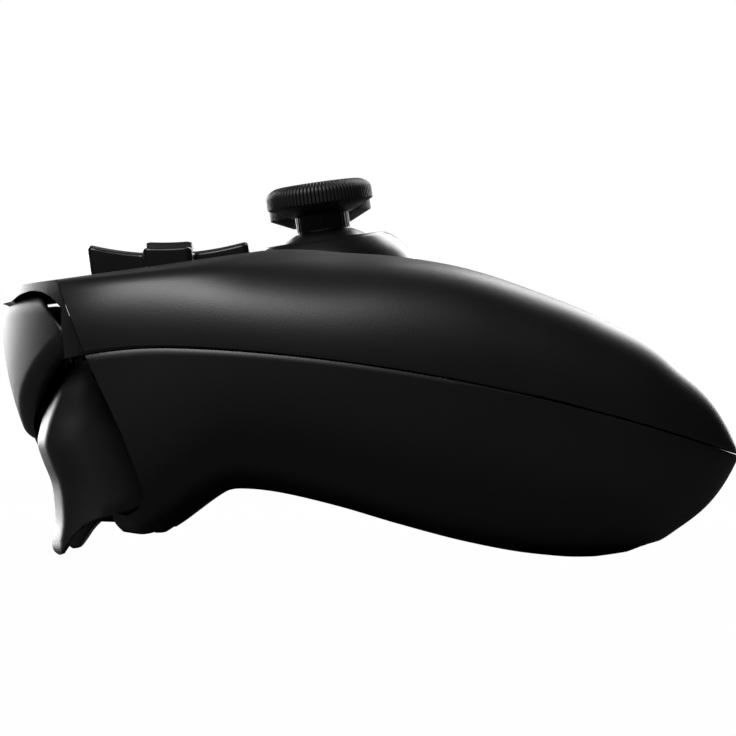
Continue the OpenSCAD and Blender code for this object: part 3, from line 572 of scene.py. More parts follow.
    def face_level(self, flat: Array) -> Array:
        """Height of the upper skin in the face frame, from the plane at its nearest grid point.

        Args:
            flat: rows of x and v on the face.

        Returns:
            Height of each row.
        """
        rows = self.rows(np.linspace(-0.8, 0.8, 161))[:, None, :]
        skin = self.upper(rows, np.linspace(0.25, 2.9, 161)[None, :], 0.0)
        c, s = math.cos(self.tilt), math.sin(self.tilt)
        y, z = skin[..., 1] - self.face_y, skin[..., 2] - self.face_z
        grid = columns(skin[..., 0], y * c - z * s, y * s + z * c)
        inside = grid[1:-1, 1:-1]
        along, aside = grid[2:, 1:-1] - grid[:-2, 1:-1], grid[1:-1, 2:] - grid[1:-1, :-2]
        gap = flat[:, None, :] - inside[..., :2].reshape(1, -1, 2)
        near = np.argmin((gap ** 2).sum(-1), axis=1)
        base, a, b = (part.reshape(-1, 3)[near] for part in (inside, along, aside))
        normal = np.cross(a, b)
        step = flat - base[:, :2]
        return base[:, 2] - (normal[:, :2] * step).sum(-1) / normal[:, 2]


def arc(turn: Array, centre: Sequence[float], wide: float, tall: float | None = None) -> Array:
    """Points at the given angles of a circle or, with a second size, of an ellipse."""
    tall = wide if tall is None else tall
    return columns(centre[0] + wide * np.cos(turn), centre[1] + tall * np.sin(turn))


def between(a: Array, b: Array, count: int) -> Array:
    """Points that part the straight way from a to b evenly, without its ends."""
    return a + np.linspace(0.0, 1.0, count + 2)[1:-1, None] * (b - a)


def circle(radius: float, count: int = 96, centre: Pair = (0.0, 0.0)) -> Array:
    """Points of a circle round a centre."""
    return arc(turns(count), centre, radius)


def pill_outline(length: float, width: float, count: int = 96) -> Array:
    """Stadium outline: a circle whose halves are moved apart along X.

    Args:
        length: length over both ends.
        width: width.
        count: number of points.

    Returns:
        Points of the outline.
    """
    ring = arc(turns(count) + np.pi / count, (0.0, 0.0), width / 2.0)
    ring[:, 0] += np.sign(ring[:, 0]) * (length - width) / 2.0
    return ring


def cross_outline(span: float, arm: float, tip: float, root: float) -> Array:
    """Outline of a cross with rounded arm ends and inner corners.

    Args:
        span: length over two arms.
        arm: width of an arm.
        tip: radius of the outer corners.
        root: radius of the inner corners.

    Returns:
        Points of one quarter, turned four times.
    """
    half, side = span / 2.0, arm / 2.0
    turn = np.linspace(0.0, QUARTER, 9)
    first = arc(turn, (half - tip, side - tip), tip)
    inner = arc(-QUARTER - turn, (side + root, side + root), root)
    last = arc(turn, (side - tip, half - tip), tip)
    spin = np.array([[0.0, 1.0], [-1.0, 0.0]])
    quarter = np.concatenate([first, between(first[-1], inner[0], 5), inner, between(inner[-1], last[0], 5),
                              last, between(last[-1], first[0] @ spin, 6)])
    return np.concatenate([quarter, quarter @ spin, -quarter, -quarter @ spin])


def stack(name: str, rows: Sequence[tuple[Array, Array | float]], place: Placer) -> Piece:
    """Closed solid through outlines of equal count at given heights; each end closes on its middle.

    Args:
        name: name of the piece.
        rows: outline and height pairs, from one end to the other.
        place: moves the points to the body frame.

    Returns:
        The new object.
    """
    grids = [columns(*flat.T, height) for flat, height in rows]
    ends = [np.broadcast_to(grid.mean(axis=0), grid.shape) for grid in (grids[0], grids[-1])]
    points = np.stack([ends[0], *grids, ends[1]])
    faces = grid_quads(len(points), points.shape[1], wrap_cols=True).tolist()
    return make_piece(name, place(points), faces, WELD)


def rod(name: str, radius: float, low: float, high: float, place: Placer, count: int = 48) -> Piece:
    """Round bar about the axis of a placer, from low to high."""
    ring = circle(radius, count)
    return stack(name, [(ring, low), (ring, high)], place)


def upright(x: float, y: float) -> Placer:
    """Placer of points about a vertical axis of the body frame."""
    return lambda points: points + np.array([x, y, 0.0])


def across(y: float, z: float) -> Placer:
    """Placer that lays an axis along X through a point of the side view."""
    return lambda points: points[..., [2, 0, 1]] + np.array([0.0, y, z])


@dataclass
class Key:
    """Pressed key in the face: crowned or dished cap, rounded edge, flange and plunger.

    Its outline is a function of the outward offset, so that the hole in the shell, its
    rounded rim and the flange all follow the same curve.
    """

    name: str
    spot: Pair
    outline: Callable[[float], Array]
    top: Callable[[Array, Array], Array]
    edge: float = 0.5
    gap: float = 0.35
    flange: float = 0.7
    flange_low: float = -5.4
    flange_high: float = -4.3
    plunger: float = 1.5
    plunger_back: float = 0.0
    foot: float = -11.85
    rings: int = 14
    rim: float = 0.22
    rim_turn: float = 1.15
    hole_low: float = -9.0

    def cap(self, body: Body) -> Piece:
        """Cap of the key: rings of the shrunk outline at the crown's height, then the edge's arc.

        Args:
            body: form whose face it sits in.

        Returns:
            The key.
        """
        inner = self.outline(-self.edge)
        shares = np.linspace(0.0, 1.0, self.rings)[1:]
        rows = [(inner * s, self.top(inner[:, 0] * s, inner[:, 1] * s)) for s in shares]
        level = rows[-1][1]
        for turn in np.linspace(0.0, QUARTER, 7)[1:]:
            flat = self.outline(-self.edge + self.edge * math.sin(turn))
            rows.append((flat, level - self.edge * (1.0 - math.cos(turn))))
        flange = self.outline(self.flange)
        rows += [(self.outline(0.0), self.flange_high), (flange, self.flange_high), (flange, self.flange_low)]
        if self.plunger > 0:
            foot = circle(self.plunger, len(inner), (0.0, -self.plunger_back))
            rows += [(foot, self.flange_low), (foot, self.foot)]
        return stack(self.name, rows, body.at(*self.spot))

    def hole(self, body: Body) -> Piece:
        """Cutter of the key's hole: straight wall, then an arc that opens the rim at the face.

        Args:
            body: form whose face it sits in.

        Returns:
            The cutter.
        """
        wall, wide = self.outline(self.gap), self.outline(self.gap + self.rim)
        level = body.face_level(wall + np.array(self.spot))
        rows = [(wall, self.hole_low)]
        for turn in np.linspace(0.0, self.rim_turn, 5):
            flat = self.outline(self.gap + self.rim * (1.0 - math.cos(turn)))
            rows.append((flat, level - self.rim * (1.0 - math.sin(turn))))
        rows += [(wide, level + 0.2), (wide, PAST_FACE)]
        return stack(self.name + "_hole", rows, body.at(*self.spot))


@dataclass
class DirectionPad:
    """Dished cross on a ball; the dish leans so that the front and inner arms stand higher."""

    spot: Pair = (-40.0, 23.5)
    span: float = 23.9
    arm: float = 7.3
    dish: float = 46.5
    lift: float = 0.7
    lean: Pair = (math.radians(3.4), math.radians(6.5))
    corners: Pair = (1.1, 0.9)
    plunger_at: float = 5.2
    plunger: float = 1.5
    plunger_z: Pair = (-11.85, -6.2)
    bore_low: float = -12.0
    ball_level: float = -2.5
    ball_room: float = 1.86

    def outline(self, offset: float) -> Array:
        """Outline of the cross, grown by an offset."""
        tip, root = (max(size, 0.15) for size in (self.corners[0] + offset, self.corners[1] - offset))
        return cross_outline(self.span + 2 * offset, self.arm + 2 * offset, tip, root)

    def top(self, x: Array, v: Array) -> Array:
        """Dish: the underside of a sphere whose middle is moved back by the lean.

        Args:
            x: places across.
            v: places along the face.

        Returns:
            Height of the dish.
        """
        dx, dv = -math.sin(self.lean[0]) * self.dish, -math.sin(self.lean[1]) * self.dish
        over = self.dish * math.cos(self.lean[1]) + self.lift
        return over - np.sqrt(self.dish ** 2 - (x - dx) ** 2 - (v - dv) ** 2)

    def key(self) -> Key:
        """Key of the cross, without a middle plunger."""
        return Key("direction_pad", self.spot, self.outline, self.top, edge=0.5, gap=0.5, flange=1.0,
                   flange_low=-6.6, flange_high=-5.6, plunger=0.0, rings=26)

    def build(self, body: Body) -> Piece:
        """Cap with four plungers and the socket of its ball.

        Args:
            body: form whose face it sits in.

        Returns:
            The pad.
        """
        cap = self.key().cap(body)
        spots = circle(self.plunger_at, 4, self.spot)
        carve(cap, [rod("plunger", self.plunger, *self.plunger_z, body.at(*spot)) for spot in spots], "UNION")
        place = body.at(*self.spot)
        profile = arc(np.linspace(-QUARTER, QUARTER, 17), (0.0, self.ball_level), self.ball_room)
        ball = revolve("ball_room", profile, 32, place)
        bore = rod("ball_bore", self.ball_room, self.bore_low, self.ball_level, place, 32)
        return carve(cap, [ball, bore])


@dataclass
class Stick:
    """Thumbstick: knurled rubber cap, fluted stem on a dome, and the collar it stands in."""

    side: Side
    x: float = 28.4
    pivot: float = -8.2
    dome: float = 10.4
    dome_wall: float = 1.0
    dome_edge: float = math.radians(67.0)
    room: float = 10.85
    stem: float = 4.05
    fillet: float = 0.25
    cap_low: float = 3.9
    cap_rim: float = 5.4
    cap_high: float = 8.7
    cap: float = 8.03
    cap_neck: float = 4.6
    shoulder: Pair = (2.4, 1.7)
    post: float = 2.03
    post_top: float = 6.65
    rib_depth: float = 0.26
    flute_depth: float = 0.11
    bulge: float = 0.4
    flutes: int = 32
    ribs: int = 84
    ring: float = 9.5
    base: float = 13.4
    slope: float = 5.0
    skirt: float = 1.6
    bore: float = 8.3
    foot_z: float = 43.4
    soft: float = 0.4
    dish: float = 12.0
    dish_sag: float = 0.6
    rim: float = 0.2
    seat_gap: float = 0.05
    flank_normal: Pair = (0.79, 0.61)
    crease: float = 50.0

    def place(self, body: Body) -> Placer:
        """Placer about the stick's axis."""
        return body.at(self.side.value * self.x, 0.0)

    def ball(self, radius: float, start: float, end: float, count: int) -> Array:
        """Profile of a sphere about the pivot, between two angles from the stick's axis."""
        return arc(QUARTER - np.linspace(start, end, count), (0.0, self.pivot), radius)

    def make_cap(self, body: Body) -> Piece:
        """Rubber cap: coned underside, sharp lower rim, narrow grooves over the shoulder, dished top.

        The groove's depth goes with cos(ribs * turn / 2) ** 12 round the axis and fades over the
        shoulder, an ellipse quarter.

        Args:
            body: form whose face it sits in.

        Returns:
            The cap.
        """
        r, high, (wide, tall) = self.cap, self.cap_high, self.shoulder
        socket = np.array([[0.0, self.post_top], [self.post, self.post_top], [self.post, self.cap_low],
                           [self.cap_neck, self.cap_low], [r - self.rim, self.cap_rim]])
        wall = columns(r, np.linspace(self.cap_rim + 0.6 * self.rim, high - tall, 5))
        shoulder = arc(np.linspace(0.0, QUARTER, 13)[1:], (r - wide, high - tall), wide, tall)
        reach = np.linspace(r - wide - self.rim, 0.0, 14)
        sunk = high + self.dish - self.dish_sag - np.sqrt(self.dish ** 2 - reach ** 2)
        profile = np.concatenate([socket, wall, shoulder, columns(reach, np.minimum(sunk, high))])
        count = self.ribs * 12
        depth = np.zeros(len(profile))
        first, last = len(socket), len(socket) + len(wall)
        depth[first - 1:last] = self.rib_depth
        fade = 1.0 - np.linspace(0.0, 1.0, len(shoulder)) ** 3
        depth[last:last + len(shoulder)] = self.rib_depth * fade
        swell = -depth[:, None] * np.cos(self.ribs * turns(count) / 2.0) ** 12
        return revolve(f"{self.side.word}_cap", profile, count, self.place(body), swell, self.crease)

    def make_stem(self, body: Body) -> Piece:
        """Dome as two spheres, with a lightly fluted stem that meets it in a small fillet.

        Args:
            body: form whose face it sits in.

        Returns:
            The stem with its dome.
        """
        fillet, inner = self.fillet, self.dome - self.dome_wall
        shell = self.ball(self.dome, self.dome_edge, math.asin((self.stem + fillet) / self.dome), 26)
        foot = shell[-1, 1]
        joint = arc(-QUARTER - np.linspace(0.3, QUARTER, 5), (self.stem + fillet, foot + fillet), fillet)
        wall = columns(self.stem, np.linspace(foot + 0.4, self.cap_low, 6))
        inside = self.ball(inner, math.asin(self.post / inner), self.dome_edge, 16)
        profile = np.concatenate([shell, joint, wall, [[self.post, self.cap_low]], inside])
        count = self.flutes * 8
        depth = np.zeros(len(profile))
        start = len(shell) + len(joint)
        depth[start:start + len(wall)] = self.flute_depth
        depth[start - 2:start] = (0.3 * self.flute_depth, 0.8 * self.flute_depth)
        swell = -depth[:, None] * (1.0 - np.abs(np.cos(self.flutes / 2.0 * turns(count))))
        return revolve(f"{self.side.word}_stem", profile, count, self.place(body), swell, self.crease)

    def flank(self, share: Array, grow: float) -> Array:
        """Outer line of the collar from its ring (0) to its base (1), bulged by a half sine.

        Args:
            share: way from ring to base.
            grow: offset along the normal.

        Returns:
            Radius and height rows.
        """
        swell = self.bulge * np.sin(np.pi * share) + grow
        out, up = self.flank_normal
        return columns(self.ring + (self.base - self.ring) * share + out * swell,
                       -self.slope * share + up * swell * (share < 1.0))

    def make_collar(self, body: Body) -> Piece:
        """Bulged cone ring with soft edges, hollowed by the dome's room and cut level below.

        Args:
            body: form whose face it sits in.

        Returns:
            The collar.
        """
        turn, soft, low = np.linspace(0.0, QUARTER, 9), self.soft, -self.slope - self.skirt
        lip = arc(np.pi - turn, (self.bore + soft, -soft), soft)
        brow = arc(QUARTER - 0.6 * turn, (self.ring - soft, -soft), soft)
        cone = self.flank(np.linspace(0.09, 1.0, 20), 0.0)
        start, end = math.acos((low - self.pivot) / self.room), math.asin(self.bore / self.room)
        ball = self.ball(self.room, start, end, 14)
        profile = np.concatenate([lip, brow, cone, [[self.base, low]], ball])
        ring = revolve(f"{self.side.word}_collar", profile, 192, self.place(body))
        x, half = self.side.value * self.x, 20.0
        floor = box("floor", (-20.0, 35.0), (self.foot_z - 20.0, self.foot_z), x - half, x + half)
        return carve(ring, [floor])

    def recess(self, body: Body) -> list[Piece]:
        """Cutters of the collar's seat and of the dome's room in the shell.

        Args:
            body: form whose face it sits in.

        Returns:
            Both cutters.
        """
        cone = self.flank(np.linspace(1.0, 0.2, 12), self.seat_gap)
        low, wide = -self.slope - self.skirt - 0.15, cone[-1, 0] + 0.02
        profile = np.concatenate([[[0.0, low], [self.base + self.seat_gap, low]], cone,
                                  [[wide, -0.3], [wide, PAST_FACE], [0.0, PAST_FACE]]])
        seat = revolve(f"{self.side.word}_seat", profile, 128, self.place(body))
        room = self.ball(self.room, 0.0, np.pi, 33)
        return [seat, revolve(f"{self.side.word}_room", room, 96, self.place(body))]


@dataclass
class Front:
    """Curved front of the controller: plan line, lean, brow arc and the shells' front edge."""

    line: float = 55.0
    flat: float = 22.0
    curve: float = 0.0066
    belly_z: float = 36.0
    foot_z: float = 10.5
    brow_z: float = 38.8
    brow_back: float = 0.28
    bridge_back: float = 1.0
    bridge_wall: float = 2.2
    far: float = 75.0
    lean_bend: Pair = (0.0115, 0.2)
    arc_top: Pair = (49.2, 39.4)
    arc_bend: Pair = (0.1, 0.14)
    arc_y: Spot = (56.0, 43.0, -0.4)
    floor_top: float = 31.0
    room_back: Pair = (41.2, 29.6)
    below: float = -5.0
    above: float = 60.0
    edge: tuple[Pair, ...] = (
        (45.4, 60.0), (45.4, 40.6), (41.0, 29.5), (35.6, 18.1), (32.7, 10.5), (32.5, 8.6), (33.4, 6.9),
        (35.2, 6.0), (37.1, 6.4), (37.1, 5.6), (36.6, 4.7), (35.8, 3.8), (34.8, 3.1), (33.6, 2.6),
        (32.2, 2.2), (30.0, -5.0))
    bumper_in: float = 23.6
    bumper_out: float = 61.0
    trigger_zone: float = 30.6
    trigger_out: float = 56.5

    def at(self, x: Array) -> Array:
        """Front line: straight in the middle, then a parabola back to the sides."""
        return self.line - self.curve * np.maximum(np.abs(x) - self.flat, 0.0) ** 2

    def lean(self, z: Array) -> Array:
        """How far the front leans back below and above its fullest height."""
        off = self.belly_z - np.maximum(z, self.foot_z)
        return -np.where(z < self.belly_z, *self.lean_bend) * off ** 2

    def arc(self, y: Array) -> Array:
        """Arc under the brow."""
        top, height = self.arc_top
        return height - np.where(y > top, *self.arc_bend) * (y - top) ** 2

    def cut(self, name: str, shift: float, x0: float, x1: float) -> Piece:
        """Cutter of everything ahead of the shells' slanted front edge."""
        edge = [(y + shift, z) for y, z in self.edge]
        return prism(name, edge + [(self.far, self.below), (self.far, self.above)], x0, x1)

    def room(self, name: str, x0: float, x1: float) -> Piece:
        """Cutter of the bumper's and trigger's room below the brow arc.

        Args:
            name: name of the cutter.
            x0: its left end.
            x1: its right end.

        Returns:
            The cutter.
        """
        y = np.arange(*self.arc_y)
        back = self.room_back
        return prism(name, [(self.far, self.belly_z), *columns(y, self.arc(y)), back, (back[0], 0.0),
                            (self.far, 0.0)], x0, x1)

    def beyond(self, name: str) -> Piece:
        """Cutter of everything ahead of the front line, leaning back over the brow.

        Args:
            name: name of the cutter.

        Returns:
            The cutter.
        """
        x, ahead, low, high = np.linspace(-80.0, 80.0, 161), 90.0, -8.0, 45.0
        y = self.at(x)
        rows = [(y, low), (ahead, low), (ahead, high), (y - self.brow_back * (high - self.brow_z), high),
                (y, self.brow_z), (y, self.brow_z - 8.0)]
        return loft(name, np.stack([columns(x, at, z) for at, z in rows], 1))

    def floor_cut(self, name: str, x: float, gap: float) -> Piece:
        """Cutter of the floor ahead of the bridge's wall, as far out as x.

        Args:
            name: name of the cutter.
            x: half its width.
            gap: room behind the wall.

        Returns:
            The cutter.
        """
        z = np.linspace(self.below, self.floor_top, 25)
        y = self.at(self.trigger_zone) - self.bridge_back - self.bridge_wall - gap + self.lean(z)
        return prism(name, [*columns(y, z), (self.far, z[-1]), (self.far, z[0])], -x, x)

    def plate(self, name: str, x: Array, low: Array, high: Array) -> Piece:
        """Wall of the bridge, which follows the front from a low to a high edge.

        Args:
            name: name of the wall.
            x: places across.
            low: lower edge at each place.
            high: upper edge at each place.

        Returns:
            The wall.
        """
        z = low[:, None] + (high - low)[:, None] * np.linspace(0.0, 1.0, 28)
        y = self.at(x)[:, None] + self.lean(z) - self.bridge_back
        face, rear = columns(x[:, None], y, z), columns(x[:, None], y - self.bridge_wall, z)[:, ::-1]
        return loft(name, np.concatenate([face, rear], axis=1))


@dataclass
class Shells:
    """Top shell, bottom shell and the bridge with its brow, all cut from the body's two skins."""

    body: Body
    front: Front
    keys: list[Key]
    sticks: list[Stick]
    bosses: tuple[tuple[float, float, float, float, float], ...] = (
        (60.0, -41.0, 10.0, 18.7, 3.2), (58.0, 13.4, 20.0, 29.6, 10.8), (19.5, 41.5, 19.0, 29.0, 14.0))
    boss: float = 3.5
    well: float = 2.5
    screw: float = 1.5
    bridge_gap: float = 0.12
    bridge_half: float = 23.2
    floor_front: float = 46.4
    floor_gap: float = 0.25
    leg_gap: float = 0.5
    lug_z: Pair = (20.0, 33.9)
    lug_h: float = 2.1
    pin: Pair = (25.4, 47.6)
    pin_r: float = 1.12
    knuckle: float = 2.2
    slot: tuple[Pair, ...] = (
        (75.0, -5.0), (29.5, -5.0), (29.6, 3.45), (31.0, 3.5), (31.0, 10.0), (34.0, 14.0), (75.0, 14.0))
    slot_gap: float = 0.9
    overlap: float = 0.05
    wall_z: Pair = (13.2, 39.0)
    foot_top: float = 16.4
    foot_lift: float = 0.9
    end_gap: float = 0.4
    cheek_x: Pair = (3.0, 0.8)
    cheek: tuple[Pair, ...] = (
        (45.4, 20.0), (50.5, 20.0), (52.2, 26.0), (53.0, 31.0), (53.2, 36.0), (45.4, 36.0))
    port: Pair = (9.4, 3.6)
    port_level: float = -12.1
    port_v: Pair = (41.0, 70.0)

    def top(self) -> Piece:
        """Upper skin without its front, with the seats of the sticks and the holes of the keys.

        Returns:
            The top shell.
        """
        shell = loft("top_shell_skin", self.body.shell_loops(self.body.upper, 1.0))
        tools = [self.front.cut("front", 0.0, -PAST_SIDES, PAST_SIDES)]
        for stick in self.sticks:
            tools += stick.recess(self.body)
        tools += [key.hole(self.body) for key in self.keys]
        return carve(shell, tools)

    def bottom(self) -> Piece:
        """Lower skin with screw bosses and wells, opened in front for triggers and bridge.

        Returns:
            The bottom shell.
        """
        shell = loft("bottom_shell_skin", self.body.shell_loops(self.body.lower, -1.0))
        zone, out = self.front.trigger_zone, self.front.trigger_out
        near, sides = zone - self.overlap, list(reversed(Side))
        tools = [self.front.cut("edge", 0.0, *side.span(zone, PAST_SIDES)) for side in sides]
        tools += [prism("slot", self.slot, *side.span(near, out + self.slot_gap)) for side in sides]
        carve(shell, [*tools, self.front.floor_cut("floor", zone + self.overlap, self.floor_gap)])
        spots = [(side.value * x, y, *rest) for side in Side for x, y, *rest in self.bosses]
        bosses = [rod("boss", self.boss, low, part, upright(x, y)) for x, y, _, part, low in spots]
        wells = [rod("well", self.well, -2.0, floor, upright(x, y)) for x, y, floor, _, _ in spots]
        bores = [rod("bore", self.screw, 0.0, part + 1.0, upright(x, y)) for x, y, _, part, _ in spots]
        return carve(carve(shell, bosses, "UNION"), wells + bores)

    def bridge(self) -> Piece:
        """Brow from the upper skin ahead of the edge, joined to the wall between the bumpers.

        Returns:
            The bridge.
        """
        half, near = self.bridge_half, self.front.bumper_in - self.end_gap
        far = self.front.bumper_out + self.leg_gap
        brow = loft("front_bridge_skin", self.body.shell_loops(self.body.upper, 1.0))
        carve(brow, [self.front.cut("ahead", self.bridge_gap, -PAST_SIDES, PAST_SIDES)], "INTERSECT")
        rooms = [self.front.room("room", *side.span(near, far)) for side in reversed(Side)]
        carve(brow, [self.front.beyond("beyond"), *rooms])
        x = np.linspace(-half, half, 61)
        low, high = (np.full_like(x, z) for z in self.wall_z)
        parts, inner = [self.front.plate("wall", x, low, high)], half - self.cheek_x[0]
        for side in Side:
            foot_end = self.front.trigger_zone - self.end_gap
            x = np.linspace(half - self.overlap, foot_end, 9)[::side.value] * side.value
            low = self.body.belly_at(x, np.full_like(x, self.floor_front), 0.0) + self.foot_lift
            parts.append(self.front.plate("foot", x, low, np.full_like(x, self.foot_top)))
            reach = (self.pin[1] - self.knuckle, self.pin[1] + self.knuckle)
            ends = side.span(inner, self.pin[0] + self.knuckle)
            parts += [box("lug", reach, (z, z + self.lug_h), *ends) for z in self.lug_z]
            parts.append(prism("cheek", self.cheek, *side.span(inner, half - self.cheek_x[1])))
        carve(brow, parts, "UNION")
        bottom, top = self.lug_z[0] - 1.0, self.lug_z[1] + 6.0
        holes = [rod("pin_hole", self.pin_r, bottom, top, upright(side.value * self.pin[0], self.pin[1]))
                 for side in Side]
        port = pill_outline(*self.port)
        return carve(brow, holes + [stack("mouth", [(port, v) for v in self.port_v], self.out_of_port)])

    def out_of_port(self, points: Array) -> Array:
        """Lays an outline across the port: its height runs out of the front along the face."""
        return self.body.on_face(points[..., [0, 2, 1]] + np.array([0.0, 0.0, self.port_level]))


@dataclass
class Bumper:
    """Shoulder key: a plate on the curved front whose lower edge curls back to the trigger."""

    side: Side
    front: Front
    steps: int = 90
    thick: float = 3.0
    thin: float = 1.2
    top_back: float = 0.8
    sweep: float = 0.03
    gap: float = 0.45
    least: float = 1.2
    curl: Pair = (2.2, 1.7)
    brim: float = 0.7
    end: float = 0.8
    knuckle_z: Pair = (22.3, 33.7)
    pin: Pair = (25.4, 47.6)
    pin_r: float = 1.16
    knuckle: float = 2.2
    arm: Pair = (1.2, 4.5)
    low_start: float = 17.2
    low_slope: float = 0.385
    thin_x: Pair = (26.0, 42.0)
    rear_in: float = 0.25

    def low(self, x: Array) -> Array:
        """Lower edge, which climbs to the outer end."""
        return self.low_start + self.low_slope * (x - self.front.bumper_in)

    def depth(self, x: Array) -> Array:
        """Thickness of the plate, thinner beside the hinge."""
        return self.thick - self.thin * (1.0 - ramp(x, *self.thin_x))

    def high(self, x: Array, depth: Array) -> Array:
        """Upper edge: below the brow arc, at rest and pressed, at a depth behind the front.

        Args:
            x: places across.
            depth: depth behind the front at each place.

        Returns:
            Height at each place.
        """
        y = self.front.at(x) - self.top_back - depth
        swept = y - self.sweep * (x - self.front.bumper_in)
        arc = np.minimum(self.front.arc(y), self.front.arc(swept)) - self.gap
        return np.maximum(arc, self.low(x) + self.least)

    def build(self) -> Piece:
        """Rounded loops along X: a superellipse arc at each corner, drawn in at both ends.

        Each loop runs up the front, over the brim, down the back and round the curl; the
        share u goes up the height and q goes from the front (0) to the back (1).

        Returns:
            The bumper with its hinge knuckle.
        """
        x = np.linspace(self.front.bumper_in, self.front.bumper_out, self.steps)
        rim = np.minimum(np.minimum(x - x[0], x[-1] - x) / self.end, 1.0)
        inset = self.end * (1.0 - np.sqrt(1.0 - (1.0 - rim) ** 2)) * 0.8
        thick, low, front_top = self.depth(x), self.low(x), self.high(x, 0.0 * x)
        droop = (self.high(x, thick) - front_top)[:, None]
        tall, deep, low, inset = (part[:, None] for part in (front_top - low, thick, low, inset))
        turn, rise = np.linspace(0.0, QUARTER, 8), np.linspace(0.0, 1.0, 22)[1:-1]
        brim = np.minimum(self.brim, 0.3 * tall)
        curl_y, curl_z = np.minimum(self.curl[0], 0.8 * deep), np.minimum(self.curl[1], 0.45 * tall)
        up_face = np.concatenate([curl_z * (1.0 - np.cos(turn)), curl_z + (tall - curl_z - brim) * rise,
                                  tall - brim + brim * np.sin(turn)], 1)
        back_face = np.concatenate([curl_y * (1.0 - np.sin(turn)), 0.0 * tall * rise,
                                    brim * (1.0 - np.cos(turn))], 1)
        fall = np.linspace(1.0, 0.0, up_face.shape[1])
        up_rear = self.rear_in + (tall - 2.0 * self.rear_in) * fall
        up = np.concatenate([up_face, up_rear], 1)
        back = np.concatenate([back_face, deep + 0.0 * fall], 1)
        z = low + up + droop * np.clip(up / tall, 0.0, 1.0) * np.clip(back / deep, 0.0, 1.0)
        middle = low + tall / 2.0
        z = middle + (z - middle) * (1.0 - 2.0 * inset / np.maximum(tall, 1.0))
        back = deep / 2.0 + (back - deep / 2.0) * (1.0 - 2.0 * np.minimum(inset / deep, 0.3))
        y = self.front.at(x)[:, None] + self.front.lean(z) - back
        plate = loft(f"{Side.RIGHT.word}_bumper_key", columns(x[:, None], y, z), WELD)
        (at, y), (half, reach), (bottom, top) = self.pin, self.arm, self.knuckle_z
        axle = upright(at, y)
        carve(plate, [box("arm", (y, y + reach), self.knuckle_z, at - half, at + half),
                      rod("knuckle", self.knuckle, bottom, top, axle)], "UNION")
        carve(plate, [rod("pin_hole", self.pin_r, bottom - 1.0, top + 1.0, axle)])
        return flipped(plate, self.side, f"{self.side.word}_bumper_key")


def flipped(piece: Piece, side: Side, name: str) -> Piece:
    """A right-hand piece as it is, or its mirrored copy for the left side.

    Args:
        piece: right-hand piece.
        side: side that is wanted.
        name: name that it gets.

    Returns:
        The piece of that side.
    """
    if side is Side.RIGHT:
        piece.name = piece.data.name = name
        return piece
    copy = mirrored(piece, name)
    bpy.data.objects.remove(piece)
    return copy


